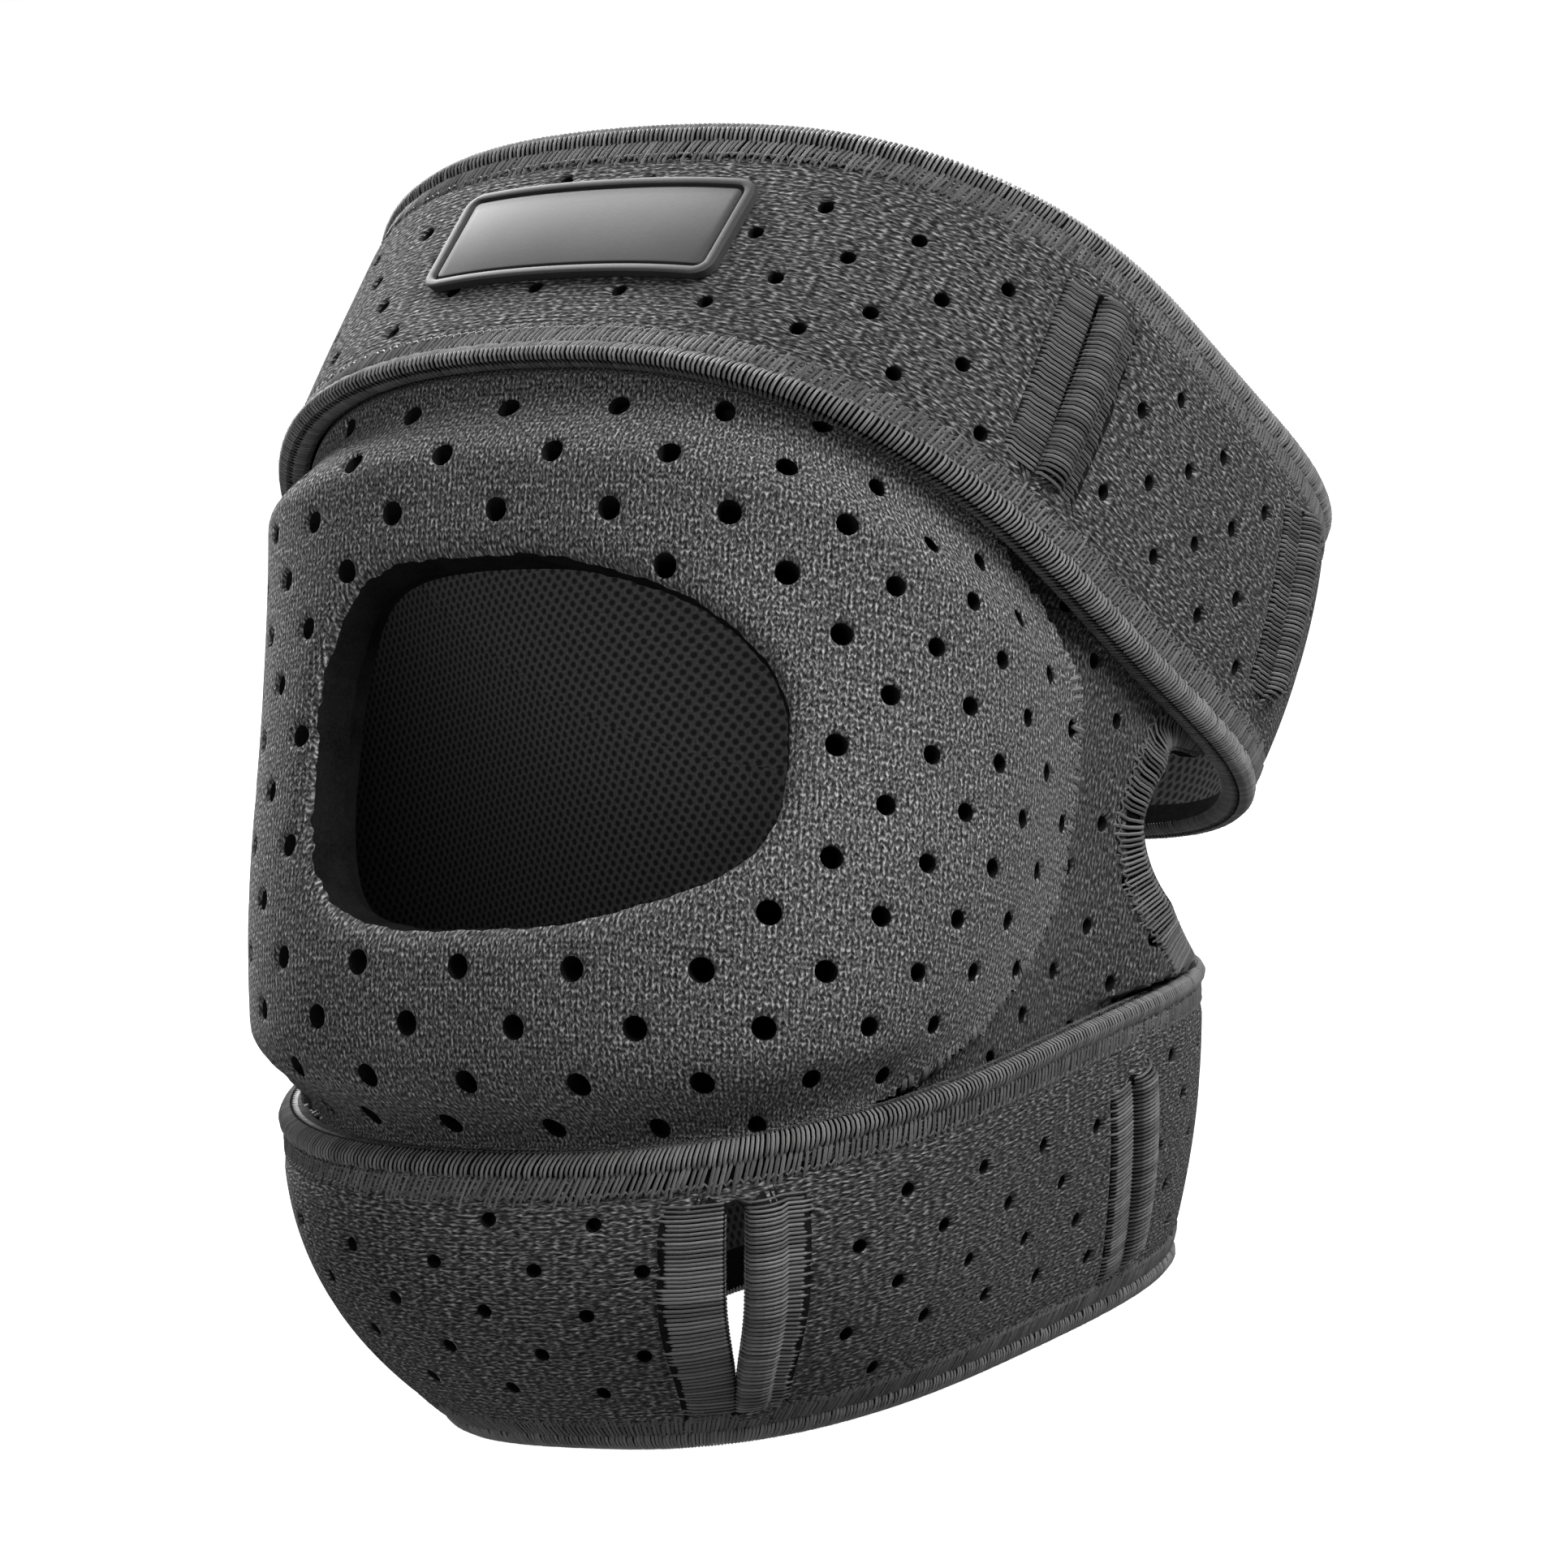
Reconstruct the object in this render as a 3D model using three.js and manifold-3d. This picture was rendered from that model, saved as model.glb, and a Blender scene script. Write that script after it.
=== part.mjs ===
// Open-kneecap knee brace in the form it has on a bent knee: a padded, perforated kneecap
// ring on a winged base panel, held by an upper strap that leans back and a lower strap.
// Millimetres, +Z up, the front of the knee faces -Y. Angles are in degrees round the leg,
// 0 at the front and positive towards +X. A level runs up the leg: 0 to 1 is the lower
// strap, 1 to 2 the knee and 2 to 3 the upper strap. A depth is measured outwards from the
// outer face of the straps, so it is negative inside them.
import * as THREE from 'three';
import { mergeVertices } from 'three/addons/utils/BufferGeometryUtils.js';
import Module from 'manifold-3d';

const DEGREE = Math.PI / 180;

// Leg form: the four strap edges as leaning ovals, from the lowest to the highest
const SECTIONS = [
  { y: 0, z: 0, lean: 0, side: 31, front: 52, back: 63.3, saddle: 0, square: 0.1 },
  { y: -7.3, z: 42, lean: -1.7, side: 49.4, front: 55.8, back: 57.6, saddle: -1.6, square: 0.11 },
  { y: 8.8, z: 87, lean: 37.5, side: 53.5, front: 66.3, back: 59.5, saddle: 3.8, square: 0.11 },
  { y: 33.5, z: 120, lean: 37.6, side: 55.6, front: 52.7, back: 59.9, saddle: 2.9, square: 0.11 },
];

// Lower strap, knee and upper strap: how far each swells between its two edges and how tall
// it is at the front; a larger skew puts the swell lower
const BANDS = [
  { side: 2.7, front: 10.8, back: 0.7, skew: 1, height: 46.5 },
  { side: 0, front: 5.8, back: 0, skew: 3, height: 94 },
  { side: 1.9, front: -1.3, back: 2.5, skew: 1, height: 42.3 },
];
const LOWER = 0;
const UPPER = 2;
const KNEE_MIDDLE = 1.5;

// Straps and their overlocked edges
const STRAP_THICKNESS = 3;
const EDGING_REACH = 2.5;
const EDGING_PROUD = 0.4;
const EDGING_ROUND = 0.9;
const EDGING_FLAT = 2;
const SEAT_GAP = 0.3;
const CUT_OVERRUN = 3;
const STRAP_COLUMNS = 48;
const STRAP_ROWS = 3;

// Kneecap pad
const PAD_CENTRE_ANGLE = 7.5;
const PAD_BELOW = { reach: 0.66, power: 3 };
const PAD_ABOVE = { reach: 0.47, power: 4 };
const PAD = { level: 1.59, halfAngle: 75.5, below: PAD_BELOW, above: PAD_ABOVE };
const OPENING_HALF = { reach: 0.215, power: 2.6 };
const OPENING = { level: 1.505, halfAngle: 30, below: OPENING_HALF, above: OPENING_HALF };
const PAD_EDGE_THICKNESS = 1.8;
const PAD_RISE = 12;
const PAD_SEAT_GAP = 1.2;
const PAD_COLUMNS = 42;
const PAD_PROFILE = [
  { reach: 0, thickness: 3.6 },
  { reach: 0.08, thickness: 5.2 },
  { reach: 0.35, thickness: 5.4 },
  { reach: 0.62, thickness: 4.6 },
  { reach: 0.84, thickness: 3.2 },
  { reach: 1, thickness: PAD_EDGE_THICKNESS },
];

// Perforations of the pad: a staggered grid whose columns crowd together round the sides
const PERFORATION = { radius: 1.7, sides: 5, pitch: 15.6, bend: 0.21, row: 6.45, rowStart: 2.2 };
const PERFORATION_ROWS = { lowest: -7, highest: 6 };
const PERFORATION_COLUMNS = 6;
const PERFORATION_MARGIN = 3;
const PERFORATION_CUT = { inner: -12, outer: 8 };

// Base panel with its wings
const PANEL_THICKNESS = 2.2;
const PANEL_LEFT = -152;
const PANEL_COLUMNS = 30;
const PANEL_LEVELS = [0.86, 0.93, 1, 1.1, 1.24, 1.42, 1.62, 1.82, 2, 2.07, 2.14, 2.2];
const PANEL_OPENING_SCALE = 1.03;
const PANEL_CUT = { inner: -30, outer: 15 };
const WING_SEAT_GAP = 0.8;
const WING_CLEARANCE = 0.4;
const WING_DEPTH = -(STRAP_THICKNESS + EDGING_PROUD + WING_CLEARANCE);
const TUCK_CLEARANCE = 0.1;
const TUCK_DROP = PAD_EDGE_THICKNESS + PAD_SEAT_GAP + TUCK_CLEARANCE;
const TUCKS = [
  { level: 1, upwards: 1, full: 53, end: 68 },
  { level: 2, upwards: -1, full: 64, end: 78 },
];
const TUCK_FROM = 0;
const TUCK_TO = 0.18;
const TUCK_BACK = { from: -0.17, to: -0.07 };
const NOTCH = { angle: 103, level: 1.62, lowerRise: 24, upperRise: 6, power: 1.6 };
const NOTCH_EDGING = { from: 1.05, to: 1.95, steps: 18 };

// Slits in the straps, each with an overlocked edge
const SLOT_EDGING_WIDTH = 3.2;
const SLOT_EDGING_PROUD = 1;
const SLOT_EDGING_RIM = 0.2;
const SLOT_EDGING_INSET = 0.6;
const SLOT_END = { bow: 0.04, width: 0.45 };
const SLOT_STEPS = 6;
const SLOTS = [
  { name: 'lower_slot_edging_front', angles: [34.4, 34], levels: [0.15, 0.83], opening: 2.8 },
  { name: 'lower_slot_edging_side', angles: [107.5, 100], levels: [0.17, 0.78], opening: 0.9 },
  { name: 'upper_slot_edging_front', angles: [62.5, 61.6], levels: [2.2, 2.81], opening: 0.9 },
  { name: 'upper_slot_edging_side', angles: [115.2, 111.7], levels: [2.24, 2.81], opening: 0.9 },
];

// Rubber badge on the front of the upper strap, and the plain fastening tabs at the back
const BADGE = { left: -22, right: 20.3, low: 2.35, high: 2.745, thickness: 1.3, corner: 2.5 };
const BADGE_RIM = { width: 1.2, rise: 0.7, slope: 0.35 };
const TABS = [
  { name: 'lower_closure_tab', left: 158, right: 202, low: 0.17, high: 0.83 },
  { name: 'upper_closure_tab', left: 158, right: 202, low: 2.17, high: 2.83 },
];
const TAB_THICKNESS = 1.8;
const TAB_STEPS = 7;

const FINISHES = {
  pad: new THREE.MeshStandardMaterial({ color: '#5c5c5c', roughness: 0.95, metalness: 0 }),
  strap: new THREE.MeshStandardMaterial({ color: '#4a4a4a', roughness: 0.95, metalness: 0 }),
  edging: new THREE.MeshStandardMaterial({ color: '#565656', roughness: 0.85, metalness: 0 }),
  badge: new THREE.MeshStandardMaterial({ color: '#6a6a6a', roughness: 0.55, metalness: 0 }),
};

// Points nearer than this are one point, and slopes are taken over this many degrees
const WELD = 1e-4;
const SLOPE_STEP = 0.5;

const wasm = await Module();
wasm.setup();

function mix(from, to, share) {
  return from + (to - from) * share;
}

function smoothStep(from, to, value) {
  const share = Math.min(Math.max((value - from) / (to - from), 0), 1);
  return share * share * (3 - 2 * share);
}

// Point of one leg section at an angle in radians
function sectionPoint(section, turn) {
  const fill = 1 + section.square * Math.sin(2 * turn) ** 2;
  const reach = Math.cos(turn) > 0 ? section.front : section.back;
  const across = section.side * Math.sin(turn) * fill;
  const deep = -reach * Math.cos(turn) * fill;
  const lift = section.saddle * Math.cos(2 * turn);
  const lean = section.lean * DEGREE;
  return new THREE.Vector3(
    across,
    section.y + deep * Math.cos(lean) + lift * Math.sin(lean),
    section.z - deep * Math.sin(lean) + lift * Math.cos(lean),
  );
}

// Share of a band's swell at a height 0 to 1 within it
function swellShare(skew, height) {
  const peak = skew ** skew / (1 + skew) ** (1 + skew);
  return (height * (1 - height) ** skew) / peak;
}

// Point of the leg form at an angle, a level and a depth
function formPoint(angle, level, depth) {
  const bandIndex = Math.min(Math.max(Math.floor(level), 0), BANDS.length - 1);
  const height = level - bandIndex;
  const band = BANDS[bandIndex];
  const lower = SECTIONS[bandIndex];
  const upper = SECTIONS[bandIndex + 1];
  const turn = angle * DEGREE;
  const nudge = SLOPE_STEP * DEGREE;
  const at = (a) => sectionPoint(lower, a).lerp(sectionPoint(upper, a), height);
  const along = at(turn + nudge).sub(at(turn - nudge));
  const lean = mix(lower.lean, upper.lean, height) * DEGREE;
  const axis = new THREE.Vector3(0, Math.sin(lean), Math.cos(lean));
  const outward = along.cross(axis).normalize();
  const endSwell = Math.cos(turn) > 0 ? band.front : band.back;
  const swell = band.side * Math.sin(turn) ** 2 + endSwell * Math.cos(turn) ** 2;
  return at(turn).addScaledVector(outward, swell * swellShare(band.skew, height) + depth);
}

// Millimetres round the leg for one degree, and up the leg for one level of the knee
function widthPerDegree(angle, level) {
  const ahead = formPoint(angle + SLOPE_STEP, level, 0);
  return ahead.distanceTo(formPoint(angle - SLOPE_STEP, level, 0)) / (2 * SLOPE_STEP);
}

function kneeHeight(angle) {
  return formPoint(angle, 1, 0).distanceTo(formPoint(angle, 2, 0));
}

// Closed solid through rings of points; an open run of rings gets a cap at each end
function loft(rings, closed) {
  const sides = rings[0].length;
  const positions = rings.flat().flatMap((point) => [point.x, point.y, point.z]);
  const triangles = [];
  const quad = (a, b, c, d) => triangles.push(a, b, c, a, c, d);
  const spans = closed ? rings.length : rings.length - 1;
  for (let ring = 0; ring < spans; ring += 1) {
    const here = ring * sides;
    const next = ((ring + 1) % rings.length) * sides;
    for (let side = 0; side < sides; side += 1) {
      const beside = (side + 1) % sides;
      quad(here + side, here + beside, next + beside, next + side);
    }
  }
  if (!closed) {
    const last = (rings.length - 1) * sides;
    for (let rung = 0; rung < sides / 2 - 1; rung += 1) {
      const far = sides - 1 - rung;
      if (far - rung > 2) {
        quad(rung, far, far - 1, rung + 1);
        quad(last + rung, last + rung + 1, last + far - 1, last + far);
      } else {
        triangles.push(rung, far, rung + 1, last + rung, last + rung + 1, last + far);
      }
    }
  }
  const geometry = new THREE.BufferGeometry();
  geometry.setAttribute('position', new THREE.Float32BufferAttribute(positions, 3));
  geometry.setIndex(triangles);
  return faceOutwards(geometry);
}

// Turns every triangle round if the solid is inside out
function faceOutwards(geometry) {
  const index = geometry.getIndex();
  const position = geometry.getAttribute('position');
  const corner = (place) => new THREE.Vector3().fromBufferAttribute(position, index.getX(place));
  let volume = 0;
  for (let place = 0; place < index.count; place += 3) {
    volume += corner(place).dot(corner(place + 1).cross(corner(place + 2)));
  }
  if (volume < 0) {
    for (let place = 0; place < index.count; place += 3) {
      const kept = index.getX(place);
      index.setX(place, index.getX(place + 2));
      index.setX(place + 2, kept);
    }
  }
  return geometry;
}

function toSolid(geometry) {
  const bare = geometry.clone();
  bare.deleteAttribute('normal');
  bare.deleteAttribute('uv');
  const merged = mergeVertices(bare, WELD);
  return new wasm.Manifold(new wasm.Mesh({
    numProp: 3,
    vertProperties: new Float32Array(merged.getAttribute('position').array),
    triVerts: new Uint32Array(merged.getIndex().array),
  }));
}

function toGeometry(solid) {
  const mesh = solid.getMesh();
  const geometry = new THREE.BufferGeometry();
  geometry.setAttribute('position', new THREE.Float32BufferAttribute(mesh.vertProperties, 3));
  geometry.setIndex(new THREE.Uint32BufferAttribute(mesh.triVerts, 1));
  return geometry;
}

// Prism with a flat outline of angles and levels, wrapped on the form between two depths
function wrappedPrism(outline, inner, outer) {
  const shape = new THREE.Shape(outline.map((point) => new THREE.Vector2(point.angle, point.level)));
  const prism = new THREE.ExtrudeGeometry(shape, { depth: outer - inner, bevelEnabled: false, steps: 1 });
  prism.deleteAttribute('normal');
  prism.deleteAttribute('uv');
  const position = prism.getAttribute('position');
  for (let place = 0; place < position.count; place += 1) {
    const wrapped = formPoint(position.getX(place), position.getY(place), inner + position.getZ(place));
    position.setXYZ(place, wrapped.x, wrapped.y, wrapped.z);
  }
  return faceOutwards(mergeVertices(prism, WELD));
}

function cutAway(geometry, cutters) {
  let solid = toSolid(geometry);
  for (const cutter of cutters) {
    solid = solid.subtract(toSolid(cutter));
  }
  return toGeometry(solid);
}

// Point of a rounded oval in angle and level, at a turn in radians
function ovalPoint(oval, turn, scale = 1) {
  const across = Math.cos(turn);
  const up = Math.sin(turn);
  const { reach, power } = up > 0 ? oval.above : oval.below;
  const spread = scale / (Math.abs(across) ** power + Math.abs(up) ** power) ** (1 / power);
  return {
    angle: PAD_CENTRE_ANGLE + spread * oval.halfAngle * across,
    level: oval.level + spread * reach * up,
  };
}

// Depth of the panel's outer face: it drops where the pad's edge passes under a strap, and
// rises back to the strap beyond that edge
function panelDepth(angle, level) {
  const away = Math.abs(angle - PAD_CENTRE_ANGLE);
  const shares = TUCKS.map((tuck) => {
    const beyond = (level - tuck.level) * tuck.upwards;
    const round = 1 - smoothStep(tuck.full, tuck.end, away);
    const back = smoothStep(TUCK_BACK.from, TUCK_BACK.to, beyond);
    return round * back * (1 - smoothStep(TUCK_FROM, TUCK_TO, beyond));
  });
  return WING_DEPTH - TUCK_DROP * Math.max(...shares);
}

function strapAngles() {
  return Array.from({ length: STRAP_COLUMNS }, (_, column) => (360 * column) / STRAP_COLUMNS);
}

// Strap wall between its two edgings
function strapGeometry(base) {
  const edge = (EDGING_REACH + SEAT_GAP) / BANDS[base].height;
  const levels = Array.from({ length: STRAP_ROWS + 1 }, (_, row) => (
    base + mix(edge, 1 - edge, row / STRAP_ROWS)
  ));
  const rings = strapAngles().map((angle) => [
    ...levels.map((level) => formPoint(angle, level, 0)),
    ...levels.toReversed().map((level) => formPoint(angle, level, -STRAP_THICKNESS)),
  ]);
  return loft(rings, true);
}

// Bead along an edge: rounded at the edge, a little thicker than the cloth
function beadProfile(thickness) {
  const middle = -thickness / 2;
  return [
    { inset: 0, depth: middle + EDGING_FLAT / 2 },
    { inset: EDGING_ROUND, depth: EDGING_PROUD },
    { inset: EDGING_REACH, depth: EDGING_PROUD },
    { inset: EDGING_REACH, depth: -thickness - EDGING_PROUD },
    { inset: 0, depth: middle - EDGING_FLAT / 2 },
  ];
}

function strapEdgingGeometry(base, atTop) {
  const profile = beadProfile(STRAP_THICKNESS);
  const height = BANDS[base].height;
  const rings = strapAngles().map((angle) => profile.map(({ inset, depth }) => {
    const level = atTop ? base + 1 - inset / height : base + inset / height;
    return formPoint(angle, level, depth);
  }));
  return loft(rings, true);
}

// Angle of the wing's free edge at a level, a hollow between the two straps
function notchAngle(level) {
  if (level < NOTCH.level) {
    return NOTCH.angle + NOTCH.lowerRise * ((NOTCH.level - level) / (NOTCH.level - 1)) ** NOTCH.power;
  }
  return NOTCH.angle + NOTCH.upperRise * ((level - NOTCH.level) / (2 - NOTCH.level)) ** NOTCH.power;
}

function panelGeometry() {
  const edge = EDGING_REACH + WING_SEAT_GAP;
  const rings = Array.from({ length: PANEL_COLUMNS + 1 }, (_, column) => {
    const place = (level, drop) => {
      const right = notchAngle(level) - edge / widthPerDegree(notchAngle(level), level);
      const angle = mix(PANEL_LEFT, right, column / PANEL_COLUMNS);
      return formPoint(angle, level, panelDepth(angle, level) - drop);
    };
    return [
      ...PANEL_LEVELS.map((level) => place(level, 0)),
      ...PANEL_LEVELS.toReversed().map((level) => place(level, PANEL_THICKNESS)),
    ];
  });
  const outline = Array.from({ length: PAD_COLUMNS }, (_, column) => (
    ovalPoint(OPENING, (2 * Math.PI * column) / PAD_COLUMNS, PANEL_OPENING_SCALE)
  ));
  return cutAway(loft(rings, false), [wrappedPrism(outline, PANEL_CUT.inner, PANEL_CUT.outer)]);
}

function notchEdgingGeometry() {
  const profile = beadProfile(PANEL_THICKNESS);
  const { from, to, steps } = NOTCH_EDGING;
  const rings = Array.from({ length: steps + 1 }, (_, step) => {
    const level = mix(from, to, step / steps);
    const angle = notchAngle(level);
    return profile.map(({ inset, depth }) => {
      const place = angle - inset / widthPerDegree(angle, level);
      return formPoint(place, level, WING_DEPTH + depth);
    });
  });
  return loft(rings, false);
}

// Pad ring from the kneecap opening out to its sewn edge
function padGeometry() {
  const rings = Array.from({ length: PAD_COLUMNS }, (_, column) => {
    const turn = (2 * Math.PI * column) / PAD_COLUMNS;
    const hole = ovalPoint(OPENING, turn);
    const rim = ovalPoint(PAD, turn);
    const place = ({ reach, thickness }, share) => {
      const angle = mix(hole.angle, rim.angle, reach);
      const level = mix(hole.level, rim.level, reach);
      const clear = (0.5 - Math.abs(level - KNEE_MIDDLE)) * kneeHeight(angle);
      const puff = (thickness - PAD_EDGE_THICKNESS) * smoothStep(0, PAD_RISE, clear);
      const seat = panelDepth(angle, level) + PAD_SEAT_GAP;
      return formPoint(angle, level, seat + share * (PAD_EDGE_THICKNESS + puff));
    };
    return [
      ...PAD_PROFILE.map((row) => place(row, 1)),
      ...PAD_PROFILE.toReversed().map((row) => place(row, 0)),
    ];
  });
  return cutAway(loft(rings, true), padPerforations());
}

// Distance from a rounded oval in its own share: under 1 is inside
function ovalShare(oval, angle, level) {
  const { reach, power } = level > oval.level ? oval.above : oval.below;
  const across = Math.abs(angle - PAD_CENTRE_ANGLE) / oval.halfAngle;
  const up = Math.abs(level - oval.level) / reach;
  return (across ** power + up ** power) ** (1 / power);
}

function padPerforations() {
  const cutters = [];
  const { radius, sides, pitch, bend, row, rowStart } = PERFORATION;
  const midWidth = widthPerDegree(PAD_CENTRE_ANGLE, KNEE_MIDDLE);
  for (let line = PERFORATION_ROWS.lowest; line <= PERFORATION_ROWS.highest; line += 1) {
    const stagger = line % 2 === 0 ? 0.5 : 0;
    for (let column = -PERFORATION_COLUMNS; column <= PERFORATION_COLUMNS; column += 1) {
      const across = (pitch / bend) * Math.sin((column + stagger) * bend);
      const angle = PAD_CENTRE_ANGLE + across / midWidth;
      const tall = kneeHeight(angle);
      const level = KNEE_MIDDLE + (rowStart + line * row) / tall;
      const wide = widthPerDegree(angle, level);
      const holeMargin = 1 + PERFORATION_MARGIN / (OPENING_HALF.reach * tall);
      const rimMargin = 1 - PERFORATION_MARGIN / (PAD.halfAngle * wide);
      const inHole = ovalShare(OPENING, angle, level) < holeMargin;
      const offPad = ovalShare(PAD, angle, level) > rimMargin;
      const underStrap = Math.abs(level - KNEE_MIDDLE) * tall > tall / 2 - PERFORATION_MARGIN;
      if (!inHole && !offPad && !underStrap) {
        const outline = Array.from({ length: sides }, (_, side) => {
          const turn = (2 * Math.PI * side) / sides;
          return {
            angle: angle + (radius * Math.cos(turn)) / wide,
            level: level + (radius * Math.sin(turn)) / tall,
          };
        });
        cutters.push(wrappedPrism(outline, PERFORATION_CUT.inner, PERFORATION_CUT.outer));
      }
    }
  }
  return cutters;
}

// Outline of a slit at half its opening plus a margin: up one side and down the other
function slotOutline(slot, margin) {
  const [lowAngle, highAngle] = slot.angles;
  const [low, high] = slot.levels;
  const band = BANDS[Math.floor(low)];
  const side = (share, sign) => {
    const bow = Math.sin(Math.PI * mix(SLOT_END.bow, 1 - SLOT_END.bow, share));
    const half = (slot.opening / 2) * bow + margin * Math.min(1, SLOT_END.width + bow);
    const overrun = (margin / band.height) * (2 * share - 1);
    const level = mix(low, high, share) + overrun;
    const angle = mix(lowAngle, highAngle, share);
    return { angle: angle + (sign * half) / widthPerDegree(angle, level), level };
  };
  const shares = Array.from({ length: SLOT_STEPS + 1 }, (_, step) => step / SLOT_STEPS);
  return [
    ...shares.map((share) => side(share, 1)),
    ...shares.toReversed().map((share) => side(share, -1)),
  ];
}

function slotEdgingGeometry(slot) {
  const outer = slotOutline(slot, SLOT_EDGING_WIDTH - SEAT_GAP);
  const inner = slotOutline(slot, 0);
  const profile = [
    { share: 0, depth: SLOT_EDGING_RIM },
    { share: 0.5, depth: SLOT_EDGING_PROUD },
    { share: 1, depth: SLOT_EDGING_RIM },
    { share: 1, depth: SLOT_EDGING_INSET - STRAP_THICKNESS },
    { share: 0, depth: SLOT_EDGING_INSET - STRAP_THICKNESS },
  ];
  const rings = outer.map((far, place) => profile.map(({ share, depth }) => {
    const near = inner[place];
    return formPoint(mix(near.angle, far.angle, share), mix(near.level, far.level, share), depth);
  }));
  return loft(rings, true);
}

// Badge plate with a raised rim and rounded corners
function badgeGeometry() {
  const { left, right, low, high, thickness, corner } = BADGE;
  const { width: rim, rise, slope } = BADGE_RIM;
  const bandHeight = BANDS[UPPER].height;
  const middle = (low + high) / 2;
  const wide = widthPerDegree((left + right) / 2, middle);
  const length = (right - left) * wide;
  const half = ((high - low) / 2) * bandHeight;
  const ends = [0, rim, rim + slope, corner];
  const middles = [1, 2, 3].map((quarter) => (quarter * length) / 4);
  const stations = [...ends, ...middles, ...ends.toReversed().map((end) => length - end)];
  const rings = stations.map((station) => {
    const end = Math.min(station, length - station);
    const lost = Math.max(corner - end, 0);
    const reach = half - corner + Math.sqrt(corner ** 2 - lost ** 2);
    const upperRows = [reach - rim - slope, reach - rim, reach];
    const rows = [...upperRows.toReversed().map((row) => -row), ...upperRows];
    const place = (row, depth) => formPoint(left + station / wide, middle + row / bandHeight, depth);
    const lift = (row) => (end <= rim || reach - Math.abs(row) <= rim + WELD ? rise : 0);
    return [
      ...rows.map((row) => place(row, SEAT_GAP + thickness + lift(row))),
      ...rows.toReversed().map((row) => place(row, SEAT_GAP)),
    ];
  });
  return loft(rings, false);
}

function tabGeometry(tab) {
  const levels = [0, 0.5, 1].map((share) => mix(tab.low, tab.high, share));
  const rings = Array.from({ length: TAB_STEPS + 1 }, (_, step) => {
    const angle = mix(tab.left, tab.right, step / TAB_STEPS);
    return [
      ...levels.map((level) => formPoint(angle, level, SEAT_GAP + TAB_THICKNESS)),
      ...levels.toReversed().map((level) => formPoint(angle, level, SEAT_GAP)),
    ];
  });
  return loft(rings, false);
}

const brace = new THREE.Group();

function addPiece(name, geometry, material) {
  const piece = new THREE.Mesh(geometry, material);
  piece.name = name;
  brace.add(piece);
}

function slottedStrap(base) {
  const slots = SLOTS.filter((slot) => Math.floor(slot.levels[0]) === base);
  const cutters = slots.map((slot) => (
    wrappedPrism(slotOutline(slot, SLOT_EDGING_WIDTH), -STRAP_THICKNESS - CUT_OVERRUN, CUT_OVERRUN)
  ));
  return cutAway(strapGeometry(base), cutters);
}

addPiece('patella_pad', padGeometry(), FINISHES.pad);
addPiece('base_panel', panelGeometry(), FINISHES.strap);
addPiece('notch_edging', notchEdgingGeometry(), FINISHES.edging);
addPiece('lower_strap', slottedStrap(LOWER), FINISHES.strap);
addPiece('upper_strap', slottedStrap(UPPER), FINISHES.strap);
addPiece('lower_strap_bottom_edging', strapEdgingGeometry(LOWER, false), FINISHES.edging);
addPiece('lower_strap_top_edging', strapEdgingGeometry(LOWER, true), FINISHES.edging);
addPiece('upper_strap_bottom_edging', strapEdgingGeometry(UPPER, false), FINISHES.edging);
addPiece('upper_strap_top_edging', strapEdgingGeometry(UPPER, true), FINISHES.edging);
for (const slot of SLOTS) {
  addPiece(slot.name, slotEdgingGeometry(slot), FINISHES.edging);
}
addPiece('badge', badgeGeometry(), FINISHES.badge);
for (const tab of TABS) {
  addPiece(tab.name, tabGeometry(tab), FINISHES.strap);
}

// The part stands on its bottom edging, with its origin under the middle of its box
const box = new THREE.Box3().setFromObject(brace);
const middle = box.getCenter(new THREE.Vector3());
brace.position.set(-middle.x, -middle.y, -box.min.z);

export default brace;
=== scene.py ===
"""Looks of an open-kneecap knee brace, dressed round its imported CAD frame.

Sizes are in millimetres on the brace's own leg form and become metres where a point is
placed. An angle runs in degrees round the leg, 0 at the front and positive towards +X. A
level runs up the leg: 0 to 1 is the lower strap, 1 to 2 the knee and 2 to 3 the upper
strap. A depth is measured outwards from the outer face of the straps, so it is negative
inside them. Cloth is cut flat in millimetres and then laid on the form.
"""

import logging
import math
from collections.abc import Callable, Sequence
from dataclasses import astuple, dataclass, field
from enum import Enum

import bpy
import numpy as np
from mathutils import Matrix, Vector
from mathutils.geometry import delaunay_2d_cdt


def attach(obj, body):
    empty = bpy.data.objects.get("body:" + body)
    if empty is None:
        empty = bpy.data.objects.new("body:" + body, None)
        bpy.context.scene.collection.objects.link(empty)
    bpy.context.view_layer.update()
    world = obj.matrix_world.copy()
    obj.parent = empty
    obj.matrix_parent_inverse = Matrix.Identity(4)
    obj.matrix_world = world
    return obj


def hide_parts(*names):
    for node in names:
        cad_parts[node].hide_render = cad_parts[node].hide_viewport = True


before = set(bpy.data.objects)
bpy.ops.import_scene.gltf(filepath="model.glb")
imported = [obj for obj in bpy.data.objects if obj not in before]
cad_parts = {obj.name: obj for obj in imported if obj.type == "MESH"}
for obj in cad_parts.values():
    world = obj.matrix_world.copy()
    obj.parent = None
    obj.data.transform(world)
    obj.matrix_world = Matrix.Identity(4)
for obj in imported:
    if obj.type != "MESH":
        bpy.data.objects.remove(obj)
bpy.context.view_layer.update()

Array = np.ndarray
Draws = np.random.Generator
Piece = bpy.types.Object
Material = bpy.types.Material
Tree = bpy.types.NodeTree
Socket = bpy.types.NodeSocket
Node = bpy.types.Node

LOG = logging.getLogger("knee_brace")
BODY = "root"
MM = 0.001
SEED = 11

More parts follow.
